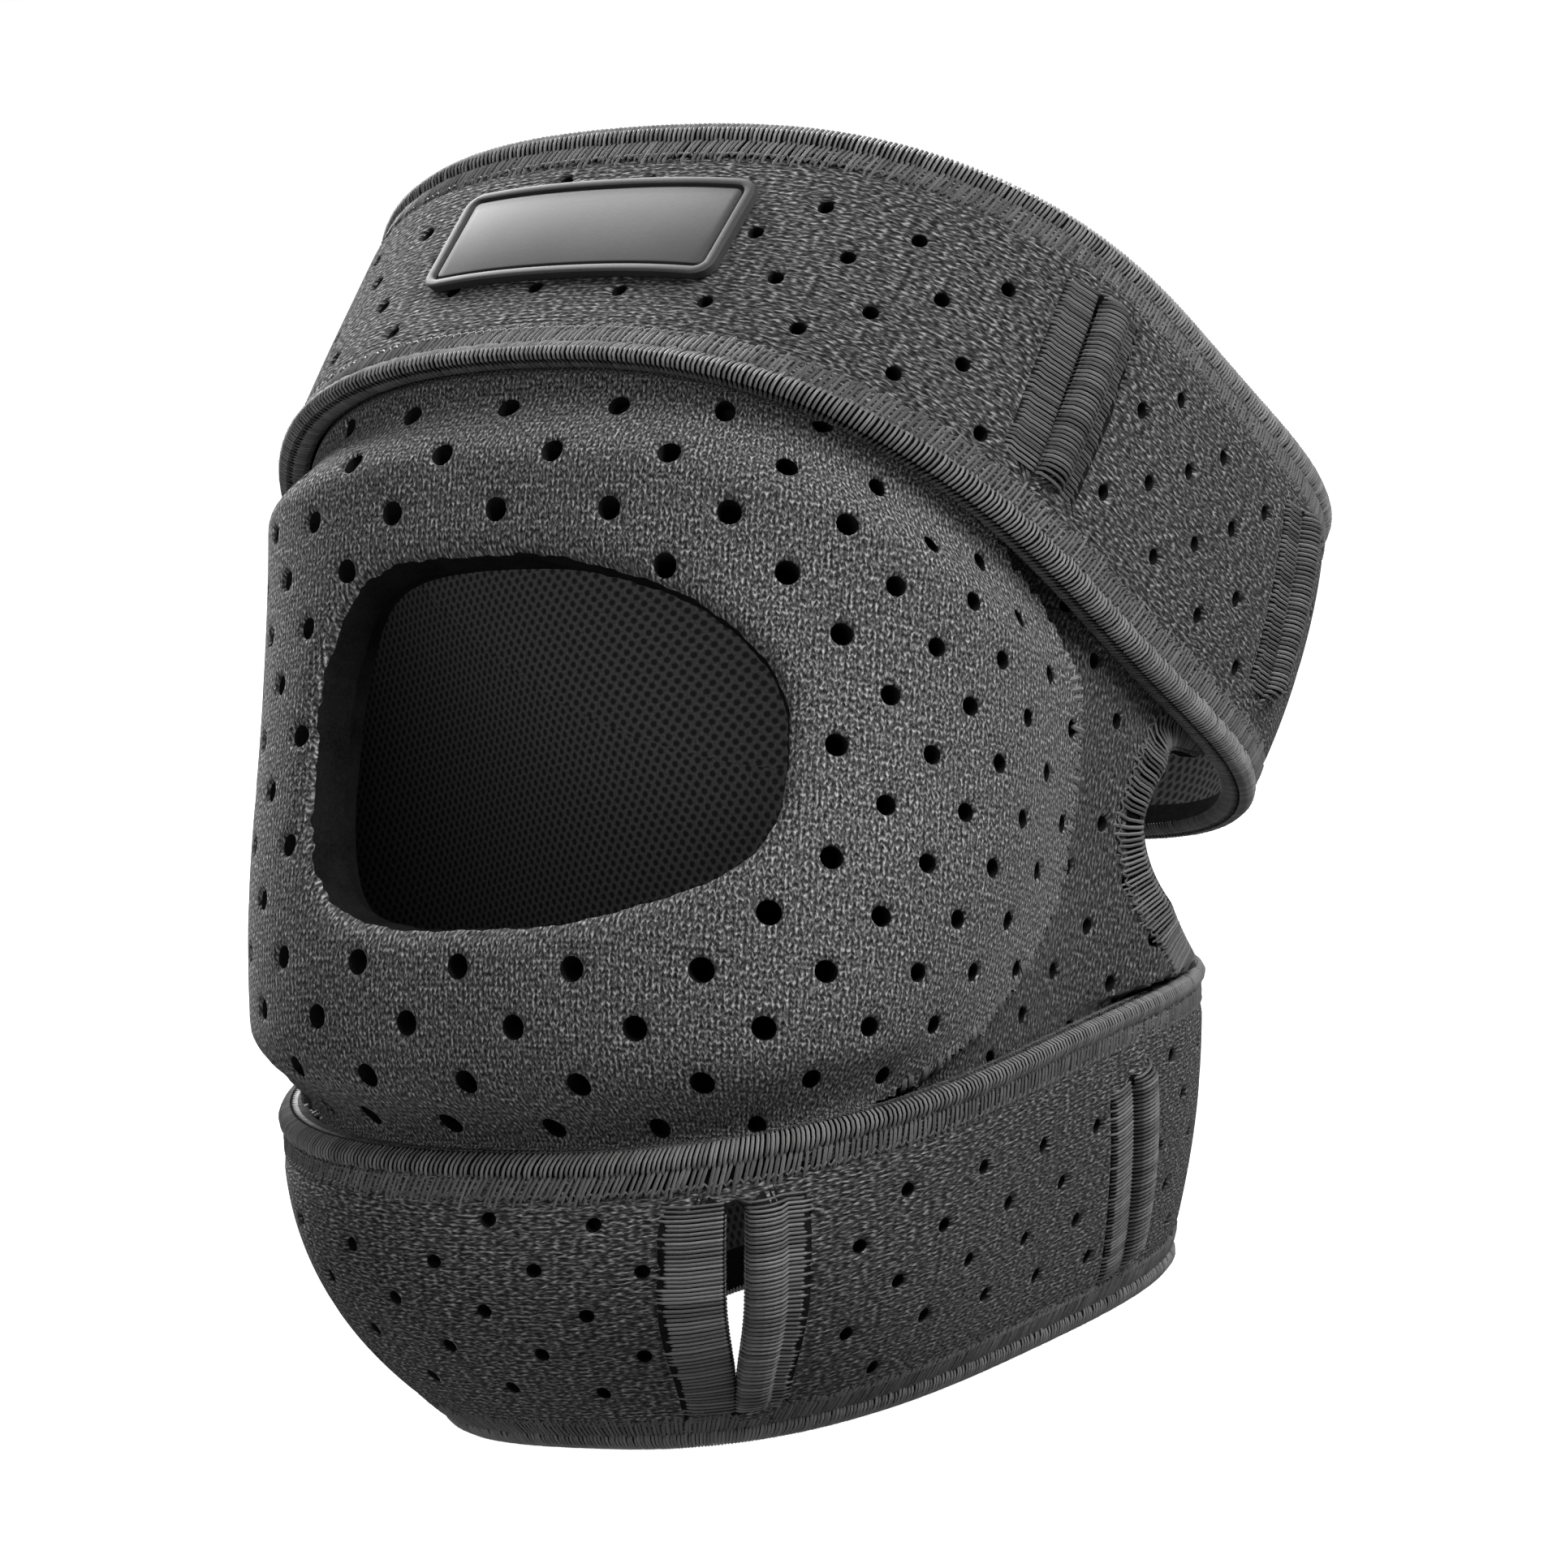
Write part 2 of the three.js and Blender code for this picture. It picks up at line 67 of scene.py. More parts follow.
# The CAD centres its box on the origin, which moves the leg form along Y
FORM_SHIFT = -6.845
SLOPE_STEP = 0.5
TABLE_STEP = 0.5


class Zone(Enum):
    """Bands of the leg form, from the lowest."""

    LOWER = 0
    KNEE = 1
    UPPER = 2


@dataclass(frozen=True)
class Section:
    """Leaning oval that a strap's edge follows round the leg."""

    y: float
    z: float
    lean: float
    side: float
    front: float
    back: float
    saddle: float
    square: float


@dataclass(frozen=True)
class Band:
    """How far a band swells between two edges, and its height at the front."""

    side: float
    front: float
    back: float
    skew: float
    height: float


SECTIONS = (
    Section(0, 0, 0, 31, 52, 63.3, 0, 0.1),
    Section(-7.3, 42, -1.7, 49.4, 55.8, 57.6, -1.6, 0.11),
    Section(8.8, 87, 37.5, 53.5, 66.3, 59.5, 3.8, 0.11),
    Section(33.5, 120, 37.6, 55.6, 52.7, 59.9, 2.9, 0.11),
)
BANDS = (
    Band(2.7, 10.8, 0.7, 1, 46.5),
    Band(0, 5.8, 0, 3, 94),
    Band(1.9, -1.3, 2.5, 1, 42.3),
)


def smooth(low: float, high: float, value: Array) -> Array:
    """Eases from 0 at low to 1 at high."""
    share = np.clip((value - low) / (high - low), 0, 1)
    return share * share * (3 - 2 * share)


def unit(vectors: Array) -> Array:
    """Vectors at length 1."""
    return vectors / np.linalg.norm(vectors, axis=-1, keepdims=True)


class LegForm:
    """Bent leg that the brace is shaped on.

    Args:
        sections: strap edges from the lowest.
        bands: swell between each two edges.
    """

    def __init__(self, sections: Sequence[Section], bands: Sequence[Band]) -> None:
        self.sections = np.array([astuple(section) for section in sections], float)
        self.bands = np.array([astuple(band) for band in bands], float)
        angles = np.arange(-180, 180 + TABLE_STEP, TABLE_STEP)
        span = self.points(angles, 2, 0) - self.points(angles, 1, 0)
        self.knee_table = (angles, np.linalg.norm(span, axis=1) / MM)

    @staticmethod
    def oval(section: Array, turn: Array) -> Array:
        """Points of the sections, one row each, at turns in radians.

        Args:
            section: rows of a section's values.
            turn: turn for each row.

        Returns:
            A row of x, y and z in millimetres for each turn.
        """
        y, z, lean, side, front, back, saddle, square = section.T
        fill = 1 + square * np.sin(2 * turn) ** 2
        reach = np.where(np.cos(turn) > 0, front, back)
        deep = -reach * np.cos(turn) * fill
        lift = saddle * np.cos(2 * turn)
        lean = np.radians(lean)
        return np.stack(
            [
                side * np.sin(turn) * fill,
                y + deep * np.cos(lean) + lift * np.sin(lean),
                z - deep * np.sin(lean) + lift * np.cos(lean),
            ],
            axis=-1,
        )

    def points(
        self,
        angle: Array | float,
        level: Array | float,
        depth: Array | float,
        zone: Zone | None = None,
    ) -> Array:
        """Points on the form in metres, in the CAD frame.

        Args:
            angle: degrees round the leg.
            level: place up the leg.
            depth: millimetres outwards from the straps' outer face.
            zone: band to stay in beyond its edges, or none to change at each edge.

        Returns:
            An array with a last axis of x, y and z.
        """
        angle, level, depth = np.broadcast_arrays(*(np.asarray(v, float) for v in (angle, level, depth)))
        shape = angle.shape
        angle, level, depth = angle.ravel(), level.ravel(), depth.ravel()
        last = len(self.bands) - 1
        index = np.clip(np.floor(level), 0, last).astype(int)
        if zone is not None:
            index = np.full(level.shape, zone.value)
        height = level - index
        lower, upper = self.sections[index], self.sections[index + 1]
        turn = np.radians(angle)
        nudge = math.radians(SLOPE_STEP)

        def ring(at: Array) -> Array:
            """Points between the two edges at turns in radians."""
            low, high = self.oval(lower, at), self.oval(upper, at)
            return low + (high - low) * height[:, None]

        along = ring(turn + nudge) - ring(turn - nudge)
        lean_low, lean_high = np.radians(lower[:, 2]), np.radians(upper[:, 2])
        lean = lean_low + (lean_high - lean_low) * height
        axis = np.stack([np.zeros_like(lean), np.sin(lean), np.cos(lean)], axis=-1)
        outward = unit(np.cross(along, axis))
        side, front, back, skew, _ = self.bands[index].T
        inside = np.clip(height, 0, 1)
        peak = skew**skew / (1 + skew) ** (1 + skew)
        ends = np.where(np.cos(turn) > 0, front, back)
        swell = side * np.sin(turn) ** 2 + ends * np.cos(turn) ** 2
        swell = swell * inside * (1 - inside) ** skew / peak
        placed = ring(turn) + outward * (swell + depth)[:, None]
        placed[:, 1] += FORM_SHIFT
        return (placed * MM).reshape(*shape, 3)

    def knee_height(self, angle: Array) -> Array:
        """Millimetres from the lower strap to the upper one at angles."""
        return np.interp(angle, *self.knee_table)


class Ruler:
    """Millimetres round the leg at one level, from the back on the -X side.

    Args:
        form: leg form to measure.
        level: level to measure at.
        zone: band that the level belongs to.
    """

    def __init__(self, form: LegForm, level: float, zone: Zone) -> None:
        self.angles = np.arange(-180, 180 + TABLE_STEP, TABLE_STEP)
        ring = form.points(self.angles, level, 0, zone)
        steps = np.linalg.norm(np.diff(ring, axis=0), axis=1) / MM
        self.runs = np.concatenate([[0], np.cumsum(steps)])
        self.length = float(self.runs[-1])

    def angle(self, run: Array) -> Array:
        """Angles at runs, which may pass the back."""
        return np.interp(np.mod(run, self.length), self.runs, self.angles)

    def run(self, angle: Array | float) -> Array:
        """Runs at angles."""
        return np.interp(angle, self.angles, self.runs)


# Flat cloth

RING_SIDES = 14
RING_SHARES = (1.0, 1.18, 1.55)
RING_DIMPLES = (1.0, 0.35, 0.0)
HEX_ROW = math.sqrt(3) / 2
# Share of a spacing that the filling keeps away from edges and rings
KEEP_OFF = 0.5
FEWEST_POINTS = 8
MERGE_DISTANCE = 1e-5
WELD = 1e-6
SMOOTH_ANGLE = math.radians(50)


def lengths(points: Array) -> Array:
    """Distances along a line of points from its first one."""
    steps = np.linalg.norm(np.diff(points, axis=0), axis=1)
    return np.concatenate([[0], np.cumsum(steps)])


def resample(loop: Array, spacing: float) -> Array:
    """Points at even steps round a closed loop."""
    closed = np.vstack([loop, loop[:1]])
    run = lengths(closed)
    marks = np.linspace(0, run[-1], max(FEWEST_POINTS, round(run[-1] / spacing)), endpoint=False)
    return np.column_stack([np.interp(marks, run, closed[:, axis]) for axis in range(2)])


def offset_loop(loop: Array, distance: float) -> Array:
    """Loop moved to its left, which is inwards for one that runs anticlockwise."""
    along = np.roll(loop, -1, axis=0) - np.roll(loop, 1, axis=0)
    return loop + distance * unit(np.column_stack([-along[:, 1], along[:, 0]]))


def loop_area(loop: Array) -> float:
    """Area inside a loop, negative for one that runs clockwise."""
    (across, up), (after, above) = loop.T, np.roll(loop, -1, axis=0).T
    return float((across * above - after * up).sum() / 2)


def loop_depth(points: Array, loop: Array) -> Array:
    """Distances of points from a loop, positive inside it.

    Args:
        points: points in the flat.
        loop: points of the loop.

    Returns:
        A distance for each point.
    """
    best = np.full(len(points), np.inf)
    inside = np.zeros(len(points), bool)
    across, up = points.T
    for start, end in zip(loop, np.roll(loop, -1, axis=0)):
        edge = end - start
        away = points - start
        share = np.clip(away @ edge / (edge @ edge), 0, 1)
        away = away - share[:, None] * edge
        best = np.minimum(best, np.einsum("ij,ij->i", away, away))
        if edge[1]:
            level = start[0] + (up - start[1]) * edge[0] / edge[1]
            inside ^= ((start[1] > up) != (end[1] > up)) & (across < level)
    return np.where(inside, 1, -1) * np.sqrt(best)


@dataclass
class FlatMesh:
    """Triangles of one face of a cloth in the flat."""

    points: Array
    triangles: Array
    dimple: Array
    rims: list[Array]


@dataclass
class FlatCut:
    """Cloth as it is cut, with its edges and its perforations.

    Attributes:
        outline: outer edge, anticlockwise.
        openings: inner edges, clockwise.
        holes: centres of the perforations.
        hole_radius: radius of a perforation.
        spacing: distance between the face's points.
        collars: distances from the openings at which rows of points follow them.
        sizes: share of the radius that each perforation has, or none for all of it.
    """

    outline: Array
    openings: list[Array] = field(default_factory=list)
    holes: Array = field(default_factory=lambda: np.zeros((0, 2)))
    hole_radius: float = 1.0
    spacing: float = 1.0
    collars: tuple[float, ...] = ()
    sizes: Array | None = None

    def loops(self) -> list[Array]:
        """Outer edge and then the inner ones."""
        return [self.outline, *self.openings]

    def room(self, points: Array) -> Array:
        """Distances of points from the nearest edge, negative off the cloth."""
        room = loop_depth(points, self.outline)
        for opening in self.openings:
            room = np.minimum(room, -loop_depth(points, opening))
        return room

    def lattice(self, spacing: float) -> Array:
        """Staggered points that fill the cloth.

        Args:
            spacing: distance between them.

        Returns:
            A row for each point.
        """
        low, high = self.outline.min(0), self.outline.max(0)
        rows = np.arange(low[1], high[1], spacing * HEX_ROW)
        columns = np.arange(low[0], high[0], spacing)
        grid = np.array([(x + (i % 2) * spacing / 2, y) for i, y in enumerate(rows) for x in columns])
        kept = loop_depth(grid, self.outline) > KEEP_OFF * spacing
        for opening in self.openings:
            away = -loop_depth(grid, opening)
            kept &= away > KEEP_OFF * spacing
            for collar in self.collars:
                kept &= np.abs(away - collar) > KEEP_OFF * spacing
        return grid[kept]

    def face(self, perforated: bool, spacing: float) -> FlatMesh:
        """Triangulates one face.

        Args:
            perforated: whether the perforations are cut in it.
            spacing: distance between its points.

        Returns:
            A mesh whose first points are those of the edges, in the order of loops().
        """
        holes = self.holes if perforated else self.holes[:0]
        radii = np.full(len(holes), self.hole_radius)
        if self.sizes is not None:
            radii = radii * self.sizes[: len(holes)]
        filling = self.lattice(spacing)
        outer_ring = self.hole_radius * RING_SHARES[-1] + KEEP_OFF * spacing
        for centre in holes:
            filling = filling[np.hypot(*(filling - centre).T) > outer_ring]
        turns = np.arange(RING_SIDES) * 2 * math.pi / RING_SIDES
        circle = np.column_stack([np.cos(turns), np.sin(turns)])
        points, dimples, edges, rims = [], [], [], []
        count = 0

        def add(new: Array, dimple: float, closed: bool) -> Array:
            """Adds points, as a fixed edge if they are closed.

            Args:
                new: the points.
                dimple: how far they are pressed in.
                closed: whether they are an edge.

            Returns:
                Their indices.
            """
            nonlocal count
            indices = np.arange(count, count + len(new))
            points.append(new)
            dimples.append(np.full(len(new), dimple))
            if closed:
                edges.extend(zip(indices.tolist(), np.roll(indices, -1).tolist()))
            count += len(new)
            return indices

        for loop in self.loops():
            add(loop, 0, True)
        for collar in self.collars:
            followers = np.vstack([offset_loop(opening, collar) for opening in self.openings])
            for centre in holes:
                followers = followers[np.hypot(*(followers - centre).T) > outer_ring]
            add(followers[self.room(followers) > collar * KEEP_OFF], 0, False)
        for centre, radius in zip(holes, radii):
            rims.append(add(centre + circle * radius, RING_DIMPLES[0], True))
        for share, dimple in zip(RING_SHARES[1:], RING_DIMPLES[1:]):
            if len(holes):
                rings = (holes[:, None] + circle * radii[:, None, None] * share).reshape(-1, 2)
                add(rings[self.room(rings) > KEEP_OFF * self.hole_radius * (share - 1)], dimple, False)
        add(filling, 0, False)
        flat = np.vstack(points)
        corners = [Vector(point) for point in flat]
        _, _, made, origins, *_ = delaunay_2d_cdt(corners, edges, [], 0, MERGE_DISTANCE)
        source = np.array([origin[0] for origin in origins])
        triangles = source[np.array(made)]
        rim_of = np.full(count, -1)
        for number, ring in enumerate(rims):
            rim_of[ring] = number
        rim = rim_of[triangles]
        plug = (rim[:, 0] >= 0) & (rim == rim[:, :1]).all(1)
        kept = (self.room(flat[triangles].mean(1)) > 0) & ~plug
        return FlatMesh(flat, triangles[kept], np.concatenate(dimples), rims)


class Face(Enum):
    """Faces of a cloth, in the order of its material slots."""

    OUTER = 0
    INNER = 1
    # Cut edges and perforation walls, in foam, and the perforations' floors, whose near-black is painted
    # shade
    CUT = 2


Lay = Callable[[Array, Array, Face], Array]


@dataclass
class ClothBuilder:
    """Turns a flat cut into a closed mesh on the leg form.

    Attributes:
        cut: the cloth as it is cut.
        lay: gives points in metres from flat points, their dimples and the face.
        well: gives the points at the bottom of the perforations.
        seam: run at which the right end joins the left one, or none.
        inner_spacing: distance between the inner face's points.
    """

    cut: FlatCut
    lay: Lay
    well: Callable[[Array], Array]
    seam: float | None = None
    inner_spacing: float = 2.0

    def build(self, name: str, outer_slot: Callable[[Array], Array] | None = None) -> Piece:
        """Makes the piece.

        Args:
            name: the piece's name.
            outer_slot: gives the material slot of outer triangles from their middles.

        Returns:
            The new object.
        """
        outer = self.cut.face(True, self.cut.spacing)
        inner = self.cut.face(False, self.inner_spacing)
        flats = [outer.points, inner.points]
        places = [
            self.lay(outer.points, outer.dimple, Face.OUTER),
            self.lay(inner.points, inner.dimple, Face.INNER),
        ]
        faces = [outer.triangles, inner.triangles[:, ::-1] + len(outer.points)]
        slots = [np.zeros(len(outer.triangles), int), np.full(len(inner.triangles), Face.INNER.value)]
        if outer_slot is not None:
            slots[0] = outer_slot(outer.points[outer.triangles].mean(1))
        count = len(outer.points) + len(inner.points)
        start = 0
        for loop in self.cut.loops():
            ring = np.arange(start, start + len(loop))
            faces.append(self.wall(ring, ring + len(outer.points)))
            start += len(loop)
        # Each perforation gets a wall and a floor; the floor takes the near-black cut slot as painted shade
        # at the bottom of the hole
        for rim in outer.rims:
            floor = np.arange(count, count + len(rim))
            middle = np.full(len(rim), count + len(rim))
            flat = np.vstack([outer.points[rim], outer.points[rim].mean(0)])
            flats.append(flat)
            places.append(self.well(flat))
            faces.append(self.wall(rim[::-1], floor[::-1]))
            faces.append(np.column_stack([floor, np.roll(floor, -1), middle]))
            count += len(flat)
        slots.append(np.full(sum(map(len, faces[2:])), Face.CUT.value))
        return self.mesh(name, np.vstack(flats), np.vstack(places), np.vstack(faces), np.concatenate(slots))

    @staticmethod
    def wall(upper: Array, lower: Array) -> Array:
        """Triangles between two rings, with the cloth on the left of the upper one."""
        after, below = np.roll(upper, -1), np.roll(lower, -1)
        first = np.column_stack([upper, lower, below])
        second = np.column_stack([upper, below, after])
        return np.vstack([first, second])

    def mesh(self, name: str, flat: Array, places: Array, faces: Array, slots: Array) -> Piece:
        """Makes the object, sewn at its seam, with its flat places as UVs in millimetres.

        Args:
            name: the piece's name.
            flat: flat places of its points.
            places: their places in metres.
            faces: indices of each triangle's points.
            slots: material slot of each triangle.

        Returns:
            The new object.
        """
        index = np.arange(len(flat))
        if self.seam is not None:
            left, right = (np.flatnonzero(np.abs(flat[:, 0] - end) < WELD) for end in (0, self.seam))
            upwards = [np.argsort(flat[side, 1], kind="stable") for side in (left, right)]
            index[right[upwards[1]]] = left[upwards[0]]
        sewn = index[faces]
        whole = (sewn[:, 0] != sewn[:, 1]) & (sewn[:, 1] != sewn[:, 2]) & (sewn[:, 2] != sewn[:, 0])
        if self.seam is not None:
            runs = flat[faces][:, :, 0]
            whole &= ~(np.isclose(runs, 0).all(1) | np.isclose(runs, self.seam).all(1))
        sewn, corners, slots = sewn[whole], faces[whole], slots[whole]
        used, renamed = np.unique(sewn, return_inverse=True)
        return make_object(name, places[used], renamed.reshape(sewn.shape), flat[corners], slots)


def make_object(
    name: str,
    points: Array,
    faces: Array | Sequence[Sequence[int]],
    corner_uvs: Array | None = None,
    slots: Array | None = None,
    shade: Array | None = None,
) -> Piece:
    """Makes a smooth-shaded mesh object at the origin.

    Args:
        name: the object's name.
        points: places of its points in metres.
        faces: indices of each face's points.
        corner_uvs: UV of each corner of each face.
        slots: material slot of each face.
        shade: a brightness for each point, kept as an attribute.

    Returns:
        The new object.
    """
    mesh = bpy.data.meshes.new(name)
    mesh.from_pydata(points.tolist(), [], [list(map(int, face)) for face in faces])
    if corner_uvs is not None:
        mesh.uv_layers.new(name="cloth").data.foreach_set("uv", corner_uvs.astype(np.float32).ravel())
    if slots is not None:
        mesh.polygons.foreach_set("material_index", slots.astype(np.int32))
    if shade is not None:
        mesh.attributes.new("shade", "FLOAT", "POINT").data.foreach_set("value", shade.astype(np.float32))
    piece = bpy.data.objects.new(name, mesh)
    bpy.context.scene.collection.objects.link(piece)
    bpy.ops.object.select_all(action="DESELECT")
    bpy.context.view_layer.objects.active = piece
    piece.select_set(True)
    bpy.ops.object.shade_smooth_by_angle(angle=SMOOTH_ANGLE)
    return piece


# Materials

HALF = 0.5
NOISE_DETAIL = 2.0
# Strengths that most of a Noise texture lies between
NOISE_RANGE = (0.3, 0.7)


def linear(colour: str) -> tuple[float, float, float, float]:
    """Linear colour of an sRGB hex value."""
    values = [int(colour[place : place + 2], 16) / 255 for place in (1, 3, 5)]
    return (*(v / 12.92 if v <= 0.04045 else ((v + 0.055) / 1.055) ** 2.4 for v in values), 1.0)


def add_node(
    tree: Tree, kind: str, inputs: dict[str | int, object] | None = None, **settings: object
) -> Node:
    """Adds a node with its settings, and links or sets its inputs.

    Args:
        tree: the material's nodes.
        kind: the node's type.
        inputs: a socket to link from, or a value, for each input.
        settings: the node's own properties.

    Returns:
        The new node.
    """
    node = tree.nodes.new(kind)
    for key, value in settings.items():
        setattr(node, key, value)
    for socket, value in (inputs or {}).items():
        if isinstance(value, Socket):
            tree.links.new(value, node.inputs[socket])
        else:
            node.inputs[socket].default_value = value
    return node


def new_material(name: str) -> tuple[Material, Tree, Node]:
    """Makes a material with only its shader and output."""
    material = bpy.data.materials.new(name)
    material.use_nodes = True
    tree = material.node_tree
    return material, tree, tree.nodes["Principled BSDF"]


def calculate(tree: Tree, operation: str, *values: object) -> Socket:
    """Result of a Math node on sockets and numbers."""
    return add_node(tree, "ShaderNodeMath", dict(enumerate(values)), operation=operation).outputs[0]


def calculate_vector(tree: Tree, operation: str, *values: object) -> Socket:
    """Result of a Vector Math node on sockets and vectors."""
    node = add_node(tree, "ShaderNodeVectorMath", dict(enumerate(values)), operation=operation)
    return node.outputs["Value" if operation == "LENGTH" else "Vector"]


def remap(tree: Tree, *values: object, **settings: object) -> Socket:
    """Result of a Map Range node on a socket, the range that it has and the one that it gets."""
    return add_node(tree, "ShaderNodeMapRange", dict(enumerate(values)), **settings).outputs[0]


def noise(tree: Tree, place: Socket, scale: float, detail: float = NOISE_DETAIL) -> Socket:
    """Strength of a Noise texture at a place."""
    inputs = {"Vector": place, "Scale": scale, "Detail": detail}
    return add_node(tree, "ShaderNodeTexNoise", inputs).outputs[0]


def between(tree: Tree, share: Socket, start: str, end: str) -> Socket:
    """Colour at a share of the way between two sRGB hex values."""
    inputs = {0: share, 6: linear(start), 7: linear(end)}
    return add_node(tree, "ShaderNodeMix", inputs, data_type="RGBA").outputs[2]


@dataclass(frozen=True)
class Surface:
    """How a material takes the light, with its relief in millimetres."""

    strength: float
    relief: float
    roughness: float
    specular: float = 0.0

    def finish(self, tree: Tree, shader: Node, colour: Socket, height: Socket) -> None:
        """Links a shader's colour and relief and sets its gloss.

        Args:
            tree: the material's nodes.
            shader: the material's shader.
            colour: its colour.
            height: its relief, from 0 to about 1.
        """
        inputs = {"Height": height, "Strength": self.strength, "Distance": self.relief * MM}
        bump = add_node(tree, "ShaderNodeBump", inputs)
        tree.links.new(colour, shader.inputs["Base Color"])
        tree.links.new(bump.outputs[0], shader.inputs["Normal"])
        shader.inputs["Roughness"].default_value = self.roughness
        shader.inputs["Specular IOR Level"].default_value = self.specular


class Wales(Enum):
    """Axis of the cloth that the knit's ribs run along."""

    UP = 0
    ROUND = 1


@dataclass(frozen=True)
class HeatherKnit:
    """Brushed polyester jersey spun from light and dark fibres.

    The eye sees rows of small V loops, each a little lighter or darker than the next, with
    a matt, slightly fuzzy surface.
    """

    name: str
    dark: str
    middle: str
    light: str
    wale: float
    course: float
    wales: Wales
    surface: Surface = Surface(0.8, 0.2, 0.95)
    slant: float = 0.9
    mottle: float = 26.0
    fleck_range: float = 0.2
    stray_scale: float = 0.55
    stray: float = 0.4
    ribbing: float = 0.12
    fibre_scale: float = 1.15
    clouds: tuple[float, float] = (0.88, 1.12)
    # Painted shade in the grooves between the wales and painted highlight on their crests, as the lowest and
    # highest multiplier of the colour
    painted_rib_shading: tuple[float, float] = (0.45, 1.35)
    fleck_relief: float = 0.6
    sheen: tuple[float, float] = (0.02, 0.6)

    def material(self) -> Material:
        """Builds the material on the cloth's UVs in millimetres."""
        material, tree, shader = new_material(self.name)
        uv = add_node(tree, "ShaderNodeUVMap", uv_map="cloth").outputs[0]
        inputs = {"Vector": uv, "Scale": self.stray_scale, "Detail": NOISE_DETAIL}
        wander = add_node(tree, "ShaderNodeTexNoise", inputs)
        sizes = (self.stray, self.stray, 0)
        shifted = calculate_vector(tree, "MULTIPLY_ADD", wander.outputs["Color"], sizes, uv)
        split = add_node(tree, "ShaderNodeSeparateXYZ", {0: shifted})
        across, along = split.outputs[0], split.outputs[1]
        if self.wales is Wales.ROUND:
            across, along = along, across
        column = calculate(tree, "MULTIPLY", across, 1 / self.wale)
        leg = calculate(tree, "PINGPONG", column, HALF)
        step = calculate(tree, "MULTIPLY", along, 1 / self.course)
        row = calculate(tree, "MULTIPLY_ADD", leg, self.slant, step)
        turn = calculate(tree, "MULTIPLY", row, 2 * math.pi)
        wave = calculate(tree, "COSINE", turn)
        ridge = calculate(tree, "MULTIPLY_ADD", wave, self.ribbing, leg)
        half = calculate(tree, "MULTIPLY", column, 2.0)
        loop = add_node(tree, "ShaderNodeCombineXYZ", {0: half, 1: row})
        fibre = noise(tree, loop.outputs[0], self.fibre_scale, detail=1.5)
        fleck = remap(tree, fibre, HALF - self.fleck_range, HALF + self.fleck_range)
        tone = add_node(tree, "ShaderNodeValToRGB", {0: fleck})
        ramp = tone.color_ramp.elements
        ramp[0].color = linear(self.dark)
        ramp[1].color = linear(self.light)
        ramp.new(HALF).color = linear(self.middle)
        mottle = noise(tree, uv, 1 / self.mottle, detail=4.0)
        cloud = remap(tree, mottle, *NOISE_RANGE, *self.clouds)
        # Painted shade in the grooves between the wales and painted highlight on their crests, from the ribs'
        # relief; the mottle that it is multiplied with is the cloth's own tone
        painted_shading = remap(tree, ridge, 0.0, HALF, *self.painted_rib_shading)
        light = calculate(tree, "MULTIPLY", cloud, painted_shading)
        inputs = {0: 1.0, 6: tone.outputs[0], 7: light}
        colour = add_node(tree, "ShaderNodeMix", inputs, data_type="RGBA", blend_type="MULTIPLY")
        height = calculate(tree, "MULTIPLY_ADD", fleck, self.fleck_relief, ridge)
        self.surface.finish(tree, shader, colour.outputs[2], height)
        shader.inputs["Sheen Weight"].default_value = self.sheen[0]
        shader.inputs["Sheen Roughness"].default_value = self.sheen[1]
        return material


@dataclass(frozen=True)
class SpacerMesh:
    """Black polyester spacer mesh that lines the brace.

    The eye sees a smooth dark net with staggered eyelets, whose darker colour is painted shade in the net's
    openings.
    """

    name: str
    ground: str
    eyelet_shade: str
    pitch: float
    row: float
    girth: float = 55.0
    rim: tuple[float, float] = (0.16, 0.36)
    fibre_scale: float = 3.0
    surface: Surface = Surface(0.4, 0.12, 0.9)

    def material(self) -> Material:
        """Builds the material on Object coordinates, turned into millimetres round the leg."""
        material, tree, shader = new_material(self.name)
        place = add_node(tree, "ShaderNodeTexCoord").outputs["Object"]
        split = add_node(tree, "ShaderNodeSeparateXYZ", {0: place})
        turn = calculate(tree, "ARCTAN2", split.outputs[0], split.outputs[1])
        around = calculate(tree, "MULTIPLY", turn, self.girth)
        upwards = calculate(tree, "MULTIPLY", split.outputs[2], 1 / MM)
        net_place = add_node(tree, "ShaderNodeCombineXYZ", {0: around, 1: upwards}).outputs[0]
        cell_size = (self.pitch, 2 * self.row, 0)
        cells = (1 / self.pitch, 1 / (2 * self.row), 0)
        middle = (-self.pitch / 2, -self.row, 0)
        distances = []
        for shift in (0.0, HALF):
            cell = calculate_vector(tree, "MULTIPLY_ADD", net_place, cells, (shift, shift, 0))
            part = calculate_vector(tree, "FRACTION", cell)
            away = calculate_vector(tree, "MULTIPLY_ADD", part, cell_size, middle)
            distances.append(calculate_vector(tree, "LENGTH", away))
        nearest = calculate(tree, "MINIMUM", *distances)
        low, high = (share * self.pitch for share in self.rim)
        net = remap(tree, nearest, low, high, interpolation_type="SMOOTHSTEP")
        strength = calculate(tree, "MULTIPLY", net, noise(tree, net_place, self.fibre_scale))
        # The eyelets' darker colour is painted shade in the net's openings
        colour = between(tree, strength, self.eyelet_shade, self.ground)
        self.surface.finish(tree, shader, colour, net)
        return material


